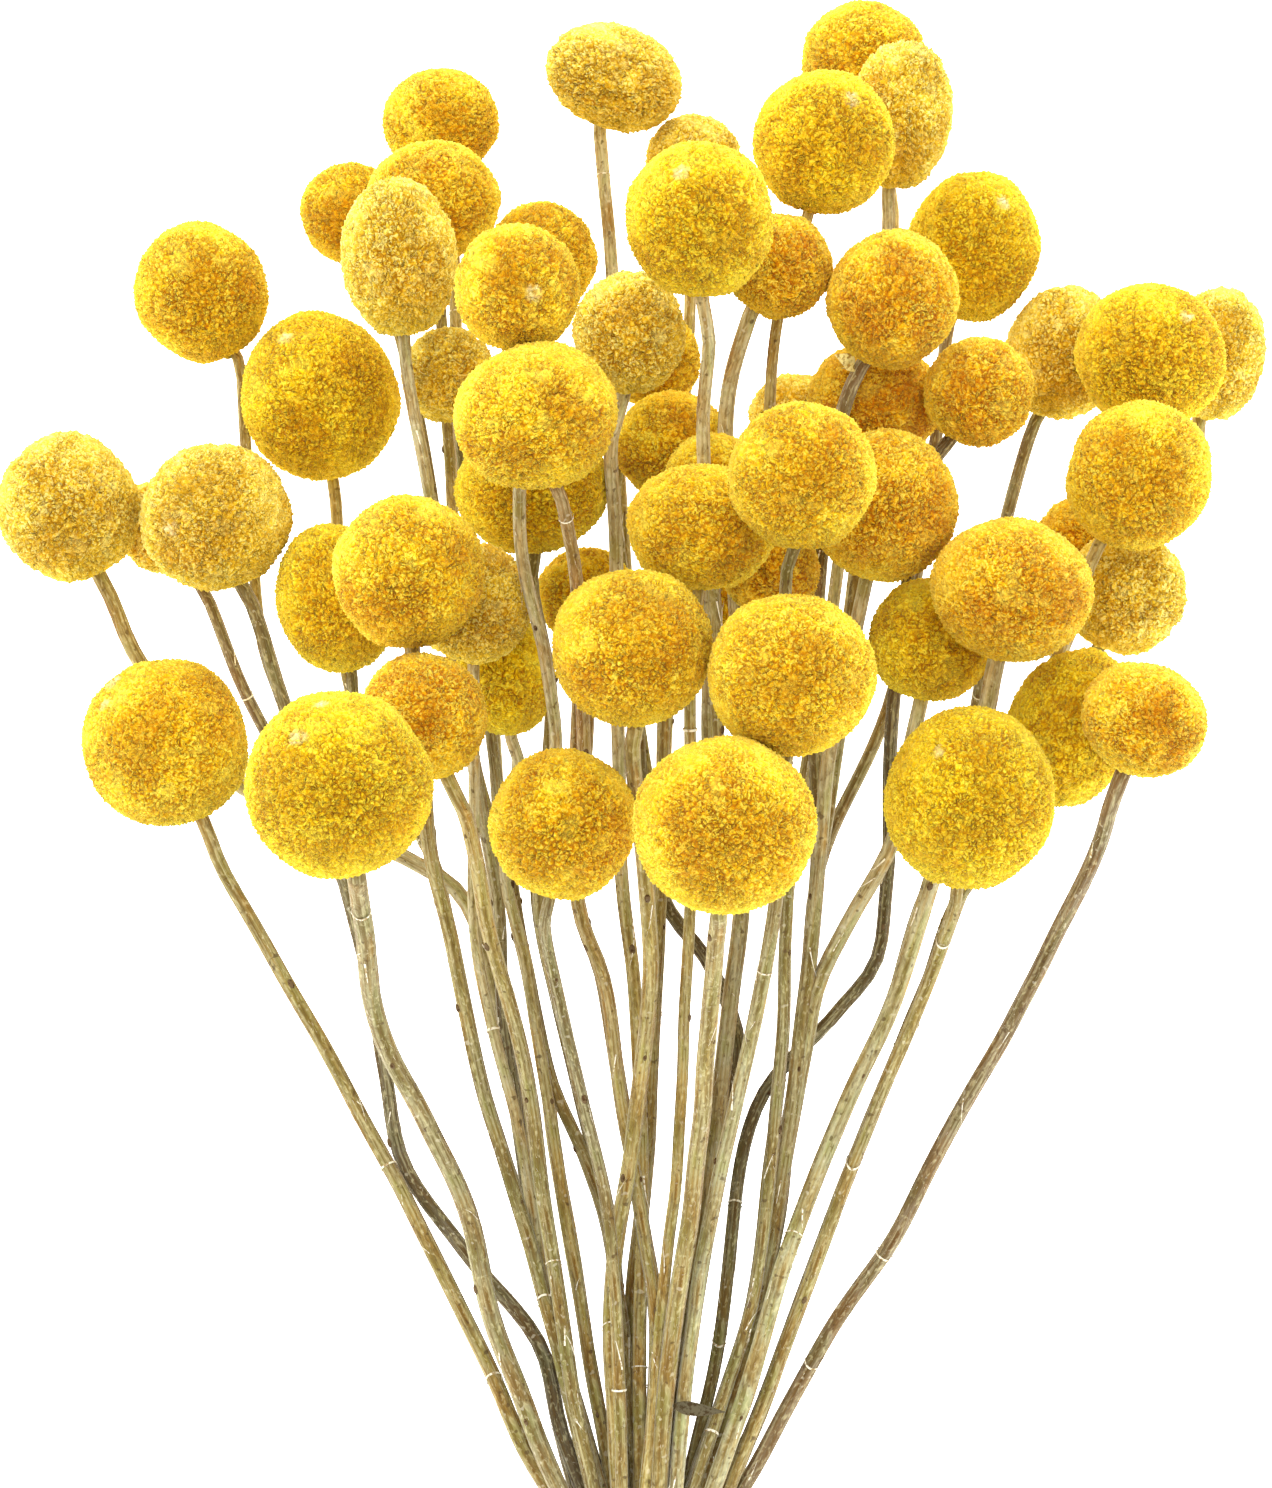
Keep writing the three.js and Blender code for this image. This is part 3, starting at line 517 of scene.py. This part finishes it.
def floretMaterial(name, kind):
    recipe = Recipe(name, 0.95, 0.15)
    height, openedAndShade, crown = recipe.split(recipe.attribute("floret", "Vector"))
    tuft = recipe.attribute("floret", "Alpha")
    pit, mid, tip, grainAndShade = (srgb(*kind[key]) for key in ("pit", "mid", "tip", "grainAndShade"))
    # Painted light on the florets: the pit colour is painted shade down in the pits and the tip colour a
    # painted highlight on the knob tops, chosen by the height value
    shade = recipe.mix(recipe.ramp(height, 0.04, 0.6), pit, mid)
    shade = recipe.mix(recipe.ramp(height, 0.62, 0.95), shade, tip)
    fine = recipe.cloud(1250, 1.5, twist=1.6)
    # Painted shade with random grain: darker grain and pit-coloured flecks, strongest low on the knobs and
    # towards the upward-facing middle, faintest on the knob tops and the rim
    low = recipe.times(recipe.ramp(height, 0.9, 0.4, 0.35, 1.0), recipe.ramp(openedAndShade, 0.25, 0.8, 0.2, 1.0))
    shade = recipe.mix(recipe.times(low, recipe.ramp(fine, 0.52, 0.38, 0.0, 0.9)), shade, grainAndShade)
    shade = recipe.mix(recipe.times(low, recipe.ramp(fine, 0.44, 0.32, 0.0, 0.95)), shade, pit)
    shade = recipe.mix(recipe.ramp(fine, 0.53, 0.66, 0.0, 0.85), shade, tip)
    broad = recipe.cloud(210, 2.0)
    shade = recipe.mix(recipe.ramp(broad, 0.55, 0.68, 0.0, 0.35), shade, grainAndShade)
    shade = recipe.mix(recipe.ramp(broad, 0.42, 0.3, 0.0, 0.35), shade, tip)
    # Painted shade: the upward-facing middle of each head is painted darker with the grain colour
    middle = recipe.ramp(openedAndShade, 0.45, 0.85)
    middleShade = recipe.times(middle, recipe.ramp(recipe.cloud(85, 1.5), 0.4, 0.68, 0.15, 0.6))
    shade = recipe.mix(middleShade, shade, grainAndShade)
    # Painted highlight: the rim of each head, facing away from straight up, is painted paler with the tip
    # colour
    shade = recipe.mix(recipe.ramp(openedAndShade, 0.45, 0.1, 0.0, 0.12), shade, tip)
    warm = recipe.ramp(recipe.cloud(60, 2.0), 0.5, 0.7, 0.0, 0.45)
    shade = recipe.mix(warm, shade, recipe.mix(1.0, shade, srgb(255, 232, 190), "MULTIPLY"))
    green = recipe.ramp(crown, -0.3, -0.9, 0.0, 0.45)
    shade = recipe.mix(green, shade, srgb(206, 180, 26))
    pale = recipe.times(recipe.ramp(tuft, 0.1, 0.9, 0.0, 0.85), recipe.ramp(height, -0.2, 0.6))
    shade = recipe.mix(pale, shade, srgb(252, 247, 190))
    recipe.shader.inputs["Sheen Weight"].default_value = 0.25
    recipe.shader.inputs["Sheen Roughness"].default_value = 0.45
    recipe.shader.inputs["Sheen Tint"].default_value = srgb(255, 242, 150)
    recipe.bump(fine, 0.0006, 1.0)
    return recipe.colour(shade)


def floretHead(flower, kind):
    s = headSettings
    draws = random.Random(flower["index"] + 1)
    size = (flower["across"] ** 2 * flower["along"]) ** (1 / 3)
    bm = bmesh.new()
    layer = bm.verts.layers.float_color.new("floret")
    for point in spiralPoints(round(4 * math.pi * size ** 2 / s["area"]), s["jitter"], draws):
        bm.verts.new(point)
    bmesh.ops.convex_hull(bm, input=bm.verts[:])
    ribs = bm.edges[:]
    pits = set(bmesh.ops.poke(bm, faces=bm.faces[:])["verts"])
    bmesh.ops.rotate_edges(bm, edges=ribs, use_ccw=False)
    clumps = spiralPoints(round(4 * math.pi * size ** 2 / kind["clumpSize"] ** 2), s["clumpJitter"], draws)
    tree = kdtree.KDTree(len(clumps))
    for index, clump in enumerate(clumps):
        tree.insert(clump, index)
    tree.balance()
    offset = Vector((flower["index"] * 3.1, 0, 0))
    clumpReach = kind["clumpSize"] * s["clumpShare"] / size
    laid = up.rotation_difference(flower["axis"]) @ Quaternion(up, flower["spin"])
    openTo, (least, lean, drift) = Vector(s["openTo"]), s["open"]
    tufts = []
    for place in headTufts.get(flower["at"], ()):
        facing = Vector((place[0] - flower["at"][0], flower["at"][1] - place[1], 0)) * (photo["scale"] / size)
        facing.z = math.sqrt(max(0.0, 1 - facing.length_squared))
        tufts.append((facing, draws.uniform(*s["tuftReach"]) / size))
    for vert in bm.verts:
        out = vert.co.normalized()
        dome = 1 - (tree.find(out)[2] / clumpReach) ** 2
        outwards = laid @ out
        # This value grows towards openTo, nearly straight up: it makes the pits deeper there, and the
        # material also uses it to paint that side darker and the rim paler, painted shade and painted
        # highlight
        openedAndShade = least + lean * outwards.dot(openTo) + drift * noise.noise(out * s["lumpScale"] - offset)
        tuft = max([0.0] + [1 - (outwards - facing).length / reach for facing, reach in tufts])
        openedAndShade = max(s["openLeast"], min(1.0, openedAndShade))
        # The height value holds painted shade: pits get a low value, lower for deeper pits and towards the
        # upward-facing side, so they take the darker pit colour; knob tops get a high value and the paler tip
        # colour, a painted highlight
        if vert in pits:
            deep = draws.uniform(1 - s["pitVary"], 1 + s["pitVary"])
            rise = -s["pit"] * deep * (s["pitLeast"] + (1 - s["pitLeast"]) * openedAndShade)
            drop = deep * (s["shadeLeast"] + (1 - s["shadeLeast"]) * openedAndShade)
            height = max(0.0, s["shadeTop"] - s["shadeDrop"] * drop)
        else:
            rise = s["tip"] * draws.uniform(-1, 1)
            height = draws.uniform(*s["knobShade"])
        rise += kind["clump"] * dome + s["tuftRise"] * tuft
        # Painted shade between clumps: the shade value drops where a floret lies past its clump's edge
        height = max(0.0, min(1.0, height + s["clumpEdge"] * min(dome, 0)))
        vert[layer] = (height, openedAndShade, out.z, tuft * draws.uniform(*s["tuftPatch"]))
        lump = 2 * s["lump"] * noise.noise(out * s["lumpScale"] + offset)
        vert.co = out * (1 + lump + rise / size)
        vert.co.z = max(vert.co.z, -stemSizes["baseShare"])
        x, y, z = vert.co
        stretched = Vector((x * flower["across"], y * flower["across"], z * flower["along"]))
        vert.co = laid @ stretched + flower["centre"]
        vert.co.z = max(vert.co.z, stemSizes["floorGap"])
    bmesh.ops.recalc_face_normals(bm, faces=bm.faces[:])
    return bm


floretMaterials = {slot: floretMaterial(slot, kind) for slot, kind in headKinds.items()}
slotOf = {entry["node"]: entry["material_slot"] for entry in frame["record"]["subparts"]}
for flower in flowers:
    slot = slotOf[flower["name"]]
    piece = finishPiece(f"florets_{flower['name'][-2:]}", floretHead(flower, headKinds[slot]),
                        floretMaterials[slot])
    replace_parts(piece, flower["name"])
stageDone("heads")


# Stems: ridged dry tubes with knots, each with its own tint
stemSettings = {"spacing": 0.0036, "sides": 10, "ridge": 0.06, "ridges": 4, "wobble": 0.00036,
                "second": 0.5, "drift": 0.05, "wool": 0.00012, "vary": (0.87, 0.96),
                "swayScale": 60, "slimTo": 0.02,
                "patchScale": 25, "fleckScale": 110, "fleck": 0.2, "upperFrom": 0.8, "upperRise": 5}
stemLooks = {
    "pale": (198, 189, 150), "paleGrey": (180, 176, 137), "sage": (154, 144, 104), "grey": (136, 127, 92),
    "dark": (108, 99, 78), "straw": (178, 162, 104), "golden": (163, 148, 94), "olive": (144, 134, 86),
    "khaki": (150, 136, 88), "brown": (137, 120, 93), "reddish": (172, 145, 98),
}


def stemMaterial():
    recipe = Recipe("stem_straw", 0.82, 0.2)
    tint = recipe.attribute("tint", "Color")
    along = recipe.attribute("UVMap", "Vector")
    streak = recipe.cloud(1.0, 2.0, (70, 9, 1), along)
    fine = recipe.cloud(1.0, 3.0, (620, 13, 1), along, 0.8)
    strand = recipe.cloud(1.0, 2.0, (42, 15, 1), along, 0.4)
    patch = recipe.cloud(1.0, 2.0, (95, 2.5, 1), along, 0.5)
    warmer = recipe.mix(1.0, tint, srgb(246, 213, 152), "MULTIPLY")
    greener = recipe.mix(1.0, tint, srgb(224, 234, 180), "MULTIPLY")
    shade = recipe.mix(recipe.ramp(patch, 0.5, 0.64, 0.0, 0.75), tint, warmer)
    shade = recipe.mix(recipe.ramp(patch, 0.46, 0.34, 0.0, 0.6), shade, greener)
    darker = recipe.mix(1.0, shade, srgb(196, 178, 142), "MULTIPLY")
    shade = recipe.mix(recipe.ramp(streak, 0.42, 0.6, 0.0, 0.85), shade, darker)
    rust = recipe.mix(1.0, shade, srgb(236, 206, 128), "MULTIPLY")
    shade = recipe.mix(recipe.ramp(strand, 0.5, 0.64, 0.0, 0.5), shade, rust)
    shade = recipe.mix(recipe.ramp(strand, 0.46, 0.32, 0.0, 0.28), shade, srgb(230, 222, 172))
    shade = recipe.mix(recipe.ramp(fine, 0.54, 0.68, 0.0, 0.32), shade, srgb(234, 224, 170))
    shade = recipe.mix(recipe.ramp(fine, 0.45, 0.32, 0.0, 0.6), shade, srgb(104, 82, 42))
    speck = recipe.cloud(700, 1.0)
    shade = recipe.mix(recipe.ramp(speck, 0.68, 0.74, 0.0, 0.7), shade, srgb(84, 62, 36))
    shade = recipe.mix(recipe.ramp(speck, 0.31, 0.26, 0.0, 0.3), shade, srgb(232, 224, 196))
    recipe.shader.inputs["Sheen Weight"].default_value = 0.45
    recipe.shader.inputs["Sheen Roughness"].default_value = 0.3
    recipe.shader.inputs["Sheen Tint"].default_value = srgb(255, 250, 228)
    recipe.bump(recipe.times(strand, fine, "ADD"), 0.0004, 1.0)
    return recipe.colour(shade)


# A tube round a path: a grid rolled up, with its long edges welded. detailAt gives the reach of each
# place of a ring from the path, and what is marked there.
def rolledTube(whole, path, sides, detailAt, tintAt):
    bm = bmesh.new()
    uv = bm.loops.layers.uv.new("UVMap")
    tint = bm.verts.layers.float_color.new("tint")
    mark = bm.verts.layers.float_color.new("mark")
    last = len(path) - 1
    bmesh.ops.create_grid(bm, x_segments=last, y_segments=sides, size=0.5, calc_uvs=True)
    length = sum((one - other).length for one, other in zip(path, path[1:]))
    for face in bm.faces:
        for loop in face.loops:
            loop[uv].uv = (loop[uv].uv.x * length, loop[uv].uv.y)
    frames = []
    first = None
    for k in range(last + 1):
        ahead = (path[min(k + 1, last)] - path[max(k - 1, 0)]).normalized()
        first = ahead.orthogonal() if first is None else first - ahead * first.dot(ahead)
        first.normalize()
        frames.append((path[k], first.copy(), ahead.cross(first)))
    for vert in bm.verts:
        ring = round((vert.co.x + 0.5) * last)
        turn = 2 * math.pi * (vert.co.y + 0.5)
        middle, first, second = frames[ring]
        reach, marked = detailAt(ring, turn)
        vert.co = middle + (first * math.cos(turn) + second * math.sin(turn)) * reach
        vert[tint] = (*tintAt(ring), 1)
        vert[mark] = (marked, 0, 0, 1)
    bmesh.ops.remove_doubles(bm, verts=bm.verts[:], dist=1e-6)
    bmesh.ops.holes_fill(bm, edges=bm.edges[:], sides=0)
    mesh = bpy.data.meshes.new("tube")
    bm.to_mesh(mesh)
    bm.free()
    whole.from_mesh(mesh)
    bpy.data.meshes.remove(mesh)


def addStem(whole, flower):
    s = stemSettings
    draws = random.Random(flower["index"] + 200)
    path = stemPath(flower, s["spacing"])
    last = len(path) - 1
    phase = Vector((flower["index"] * 2.3, 0, 0))
    for k in range(1, last):
        place = path[k] * s["swayScale"] + phase
        sway = Vector((noise.noise(place), 0, noise.noise(place + Vector((0, 9, 4)))))
        path[k] = path[k] + sway * s["wobble"]
    slim = min(flower["radius"], stemSizes["waistMost"] / 2000)
    above = waistMiddle.y + waist["enter"]
    radii = []
    for k in range(last + 1):
        share = min(1.0, max(0.0, (path[k].y - above) / s["slimTo"]))
        full = flower["radius"] * (1 - stemSizes["taper"] * k / last) + s["wool"]
        radii.append(slim + (full - slim) * share)
    twist = draws.uniform(0, 6)
    looks = flower.get("look", ("straw", "straw"))
    vary = draws.uniform(*s["vary"])
    upper, lower = (Vector(srgb(*stemLooks[look])[:3]) * vary for look in looks)

    def detailAt(ring, turn):
        drift = ring * s["drift"]
        ridge = math.sin(s["ridges"] * turn + twist + drift)
        ridge += s["second"] * math.sin((s["ridges"] + 3) * turn - twist - 2 * drift)
        return radii[ring] * (1 + s["ridge"] * ridge), 0

    def tintAt(ring):
        share = 0.5 + 0.9 * noise.noise(path[ring] * s["patchScale"] + phase)
        share += s["upperRise"] * (ring / last - flower.get("fade", s["upperFrom"]))
        fleck = s["fleck"] * noise.noise(path[ring] * s["fleckScale"] + phase)
        return lower.lerp(upper, max(0.0, min(1.0, share))) * (1 + fleck)

    rolledTube(whole, path, s["sides"], detailAt, tintAt)
    return path, radii


stalks = bmesh.new()
for flower in flowers:
    flower["path"], flower["radii"] = addStem(stalks, flower)
stems = finishPiece("stalks", stalks, stemMaterial())
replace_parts(stems, "stems")
stageDone("stems")


# What sits on the stems: torn skins, pale collars and dark scars at the nodes, fine hairs, and the
# few dry leaves
skinSettings = {"each": 9, "length": (0.0015, 0.006), "width": (0.00014, 0.0004), "peel": (0.0002, 0.0013),
                 "turn": 1.2, "curl": 2.2, "narrow": 0.8, "off": 1.02, "between": (0.36, 0.97),
                 "steps": 7, "tint": (240, 234, 212)}
nodeSettings = {"first": 0.36, "every": (0.022, 0.06), "collarShare": 0.25, "collar": (0.0002, 0.0005),
                "collarOff": 1.07, "collarSteps": 16, "collarTint": (232, 225, 200),
                "scar": (0.0005, 0.0010), "scarAcross": 0.6, "scarHigh": 0.45, "scarTint": (104, 84, 56)}
hairSettings = {"each": 200, "length": (0.0004, 0.0013), "width": 0.00005, "tipShare": 0.3, "lean": 1.6,
                "between": (0.3, 0.985), "tint": (238, 230, 204)}
dryLeaves = [
    {"on": (727, 823), "near": (690, 1405), "length": 0.0100, "width": 0.0026, "heading": (1.0, -0.1, 0.15),
     "curl": 0.0022, "tint": (92, 84, 62)},
    {"on": (200, 291), "near": (240, 362), "length": 0.0050, "width": 0.0024, "heading": (-0.7, 0.4, 0.3),
     "curl": 0.0012, "tint": (168, 160, 92)},
    {"on": (200, 291), "near": (244, 372), "length": 0.0040, "width": 0.0018, "heading": (0.8, 0.5, 0.3),
     "curl": 0.0010, "tint": (178, 166, 104)},
    {"on": (889, 299), "near": (857, 370), "length": 0.0042, "width": 0.0026, "heading": (-1.0, 0.45, 0.2),
     "curl": 0.0014, "tint": (234, 222, 150)},
    {"on": (889, 299), "near": (856, 372), "length": 0.0030, "width": 0.0017, "heading": (-1.0, -0.1, 0.5),
     "curl": 0.0010, "tint": (222, 206, 132)},
]


# A ribbon of a given width at each share of its length, along a path that placeAt gives with the
# direction across it
def addRibbon(whole, steps, across, placeAt, widthAt, tint):
    bm = bmesh.new()
    layer = bm.verts.layers.float_color.new("tint")
    bmesh.ops.create_grid(bm, x_segments=steps, y_segments=across, size=0.5)
    for vert in bm.verts:
        share, side = vert.co.x + 0.5, 2 * vert.co.y
        middle, sideways, out = placeAt(share)
        reach = widthAt(share) / 2
        vert.co = middle + sideways * (side * reach) + out * (0.5 * reach * side * side)
        vert[layer] = (*srgb(*tint)[:3], 1)
    mesh = bpy.data.meshes.new("ribbon")
    bm.to_mesh(mesh)
    bm.free()
    whole.from_mesh(mesh)
    bpy.data.meshes.remove(mesh)


def addSkins(whole, flower):
    s = skinSettings
    draws = random.Random(flower["index"] + 900)
    path, radii = flower["path"], flower["radii"]
    step = (path[1] - path[0]).length
    for _ in range(s["each"]):
        start = draws.uniform(*s["between"]) * (len(path) - 3)
        length, peel = draws.uniform(*s["length"]), draws.uniform(*s["peel"])
        width = draws.uniform(*s["width"])
        facing, turn = draws.uniform(-0.4, math.pi + 0.4), draws.uniform(-s["turn"], s["turn"])
        way = draws.choice((-1, 1))

        def placeAt(share):
            at = min(max(start + way * share * length / step, 0), len(path) - 1.001)
            k = int(at)
            ahead = (path[k + 1] - path[k]).normalized()
            level = ahead.cross(up).normalized()
            angle = facing + turn * share
            out = level * math.cos(angle) + level.cross(ahead) * math.sin(angle)
            lift = radii[k] * s["off"] + peel * share ** s["curl"]
            return path[k].lerp(path[k + 1], at - k) + out * lift, out.cross(ahead), out

        addRibbon(whole, s["steps"], 1, placeAt, lambda share: width * (1 - s["narrow"] * share), s["tint"])


# A place on a stem's surface: its middle, the way along, the way out, and the radius there
def surfaceAt(flower, at, angle):
    path, radii = flower["path"], flower["radii"]
    k = min(int(at), len(path) - 2)
    ahead = (path[k + 1] - path[k]).normalized()
    level = ahead.cross(up).normalized()
    out = level * math.cos(angle) + level.cross(ahead) * math.sin(angle)
    return path[k].lerp(path[k + 1], at - k), ahead, out, radii[k]


def addNodes(whole, flower):
    s = nodeSettings
    draws = random.Random(flower["index"] + 500)
    path = flower["path"]
    step = (path[1] - path[0]).length
    at = s["first"] * len(path)
    while at < len(path) - 4:
        facing = draws.uniform(0, math.pi)
        if draws.random() < s["collarShare"]:
            tilt, width = draws.uniform(-0.5, 0.5), draws.uniform(*s["collar"])

            def placeAt(share):
                turn = facing + 2 * math.pi * share
                middle, ahead, out, radius = surfaceAt(flower, at + tilt * math.sin(turn), turn)
                return middle + out * (radius * s["collarOff"]), ahead, out

            addRibbon(whole, s["collarSteps"], 1, placeAt, lambda share: width, s["collarTint"])
        else:
            middle, ahead, out, radius = surfaceAt(flower, at, facing)
            size = draws.uniform(*s["scar"])
            bump = bmesh.new()
            layer = bump.verts.layers.float_color.new("tint")
            bmesh.ops.create_icosphere(bump, subdivisions=2, radius=size)
            for vert in bump.verts:
                vert.co.x *= s["scarAcross"]
                vert.co.z *= s["scarHigh"]
                vert.co = vert.co.x * out.cross(ahead) + vert.co.y * ahead + vert.co.z * out
                vert.co += middle + out * radius * 0.95
                vert[layer] = (*srgb(*s["scarTint"])[:3], 1)
            mesh = bpy.data.meshes.new("bump")
            bump.to_mesh(mesh)
            bump.free()
            whole.from_mesh(mesh)
            bpy.data.meshes.remove(mesh)
        at += draws.uniform(*s["every"]) / step


# Fine hairs: the quads of one split grid, each laid from a stem's surface outwards
def addHairs(whole, flower):
    s = hairSettings
    draws = random.Random(flower["index"] + 700)
    comb = bmesh.new()
    layer = comb.verts.layers.float_color.new("tint")
    bmesh.ops.create_grid(comb, x_segments=s["each"], y_segments=1, size=0.5)
    bmesh.ops.split_edges(comb, edges=comb.edges[:])
    for face in comb.faces:
        at = draws.uniform(*s["between"]) * (len(flower["path"]) - 2)
        middle, ahead, out, radius = surfaceAt(flower, at, draws.uniform(-0.5, math.pi + 0.5))
        heading = (out + ahead * draws.uniform(-s["lean"], s["lean"])).normalized()
        heading *= draws.uniform(*s["length"])
        across = out.cross(ahead) * (s["width"] / 2)
        base = middle + out * (radius * 0.95)
        corners = ((0, -1), (0, 1), (1, s["tipShare"]), (1, -s["tipShare"]))
        for vert, (share, side) in zip(face.verts, corners):
            vert.co = base + heading * share + across * side
            vert[layer] = (*srgb(*s["tint"])[:3], 1)
    mesh = bpy.data.meshes.new("comb")
    comb.to_mesh(mesh)
    comb.free()
    whole.from_mesh(mesh)
    bpy.data.meshes.remove(mesh)


def addDryLeaf(whole, leaf):
    flower = next(flower for flower in flowers if flower["at"] == leaf["on"])
    path, radii = flower["path"], flower["radii"]
    nearest = min(range(len(path)), key=lambda k: (path[k] - photoPoint(leaf["near"], path[k].z)).length)
    ahead = Vector(leaf["heading"]).normalized()
    level = ahead.cross(up).normalized()
    out = level.cross(ahead)
    start = path[nearest] + ahead * radii[nearest] * 0.9

    def placeAt(share):
        rise = leaf["curl"] * math.sin(2.6 * share)
        return start + ahead * (leaf["length"] * share) + out * rise, level, out

    addRibbon(whole, 9, 4, placeAt, lambda share: leaf["width"] * max(math.sin(math.pi * share ** 0.7), 0.06),
              leaf["tint"])


def skinMaterial():
    recipe = Recipe("dry_skin", 0.85, 0.2)
    vein = recipe.cloud(1400, 2.0)
    tint = recipe.attribute("tint", "Color")
    darker = recipe.mix(1.0, tint, srgb(176, 152, 112), "MULTIPLY")
    return recipe.colour(recipe.mix(recipe.ramp(vein, 0.5, 0.62), tint, darker))


skins = bmesh.new()
for flower in flowers:
    addSkins(skins, flower)
    addNodes(skins, flower)
    addHairs(skins, flower)
for leaf in dryLeaves:
    addDryLeaf(skins, leaf)
finishPiece("skins", skins, skinMaterial())
stageDone("skins")


# The tie: two-ply twine wound side by side, crossed over itself on top, with two short ends
twineSettings = {"radius": 0.00126, "turns": 4, "pitch": 0.0026, "spacing": 0.00055, "sides": 12,
                 "turnSteps": 24,
                 "lobe": 0.17, "twist": 0.0068, "tint": (182, 142, 92), "shade": (158, 118, 72),
                 "shadeScale": 90}


def twinePath():
    s = twineSettings
    wide = (tieHigh.x - tieLow.x) / 2 - s["radius"]
    tall = (tieHigh.z - tieLow.z) / 2 - s["radius"] - 0.0001
    half = s["turns"] * s["pitch"] / 2
    top = Vector((0, 0, tall))
    ends = [(0.0150, -0.0130, -0.0010), (0.0110, -0.0085, 0.0016), (0.0065, -0.0040, 0.0030),
            (0.0015, -0.0008, 0.0046), (-0.0038, 0.0006, 0.0040), (-0.0050, -0.0030, 0.0024)]
    path = [top + Vector(point) for point in ends]
    for step in range(s["turns"] * s["turnSteps"] + 1):
        angle = 2 * math.pi * step / s["turnSteps"]
        y = -half + s["pitch"] * step / s["turnSteps"]
        path.append(Vector((math.sin(angle) * wide, y, math.cos(angle) * tall)))
    ends = [(0.0042, 0.0052, 0.0012), (0.0050, 0.0020, 0.0026), (0.0010, -0.0012, 0.0022),
            (-0.0045, -0.0050, 0.0024), (-0.0095, -0.0105, 0.0010), (-0.0120, -0.0150, -0.0020)]
    path += [top + Vector(point) for point in ends]
    return curveThrough([waistMiddle + point for point in path], s["spacing"])


def addTwine(whole):
    s = twineSettings
    path = twinePath()
    base, dark = (Vector(srgb(*s[key])[:3]) for key in ("tint", "shade"))

    def detailAt(ring, turn):
        wave = math.cos(2 * (turn - 2 * math.pi * ring * s["spacing"] / (2 * s["twist"])))
        # The second value marks the grooves between the plies, where the material paints shade
        return s["radius"] * (1 - s["lobe"] + s["lobe"] * wave), 0.5 - 0.5 * wave

    def tintAt(ring):
        return base.lerp(dark, 0.5 + noise.noise(path[ring] * s["shadeScale"]))

    rolledTube(whole, path, s["sides"], detailAt, tintAt)


def twineMaterial():
    recipe = Recipe("tie_twine", 0.95, 0.15)
    tint = recipe.attribute("tint", "Color")
    grooveShade = recipe.split(recipe.attribute("mark", "Vector"))[0]
    along = recipe.attribute("UVMap", "Vector")
    fibre = recipe.cloud(1.0, 3.0, (2600, 9, 1), along)
    # Painted shade in the grooves between the two plies
    shade = recipe.mix(recipe.ramp(grooveShade, 0.3, 1.0, 0.0, 0.6), tint, srgb(96, 66, 36))
    shade = recipe.mix(recipe.ramp(fibre, 0.5, 0.7, 0.0, 0.6), shade, srgb(214, 184, 136))
    recipe.bump(fibre, 0.0003, 0.8)
    recipe.shader.inputs["Sheen Weight"].default_value = 0.3
    return recipe.colour(shade)


twine = bmesh.new()
addTwine(twine)
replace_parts(finishPiece("twine", twine, twineMaterial()), "tie")
stageDone("tie")


# The surface that the bunch lies on
def floorMaterial():
    recipe = Recipe("floor", 0.9, 0.1)
    recipe.shader.inputs["Emission Color"].default_value = (1, 1, 1, 1)
    recipe.shader.inputs["Emission Strength"].default_value = light["floorGlow"]
    tone = light["floorTone"]
    return recipe.colour((tone, tone, tone, 1))


floorMesh = bmesh.new()
bmesh.ops.create_grid(floorMesh, x_segments=1, y_segments=1, size=3)
ground = bpy.data.meshes.new("floor")
floorMesh.to_mesh(ground)
floorMesh.free()
ground.materials.append(floorMaterial())
floor = bpy.data.objects.new("floor", ground)
scene.collection.objects.link(floor)

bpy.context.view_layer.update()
stageDone("all")
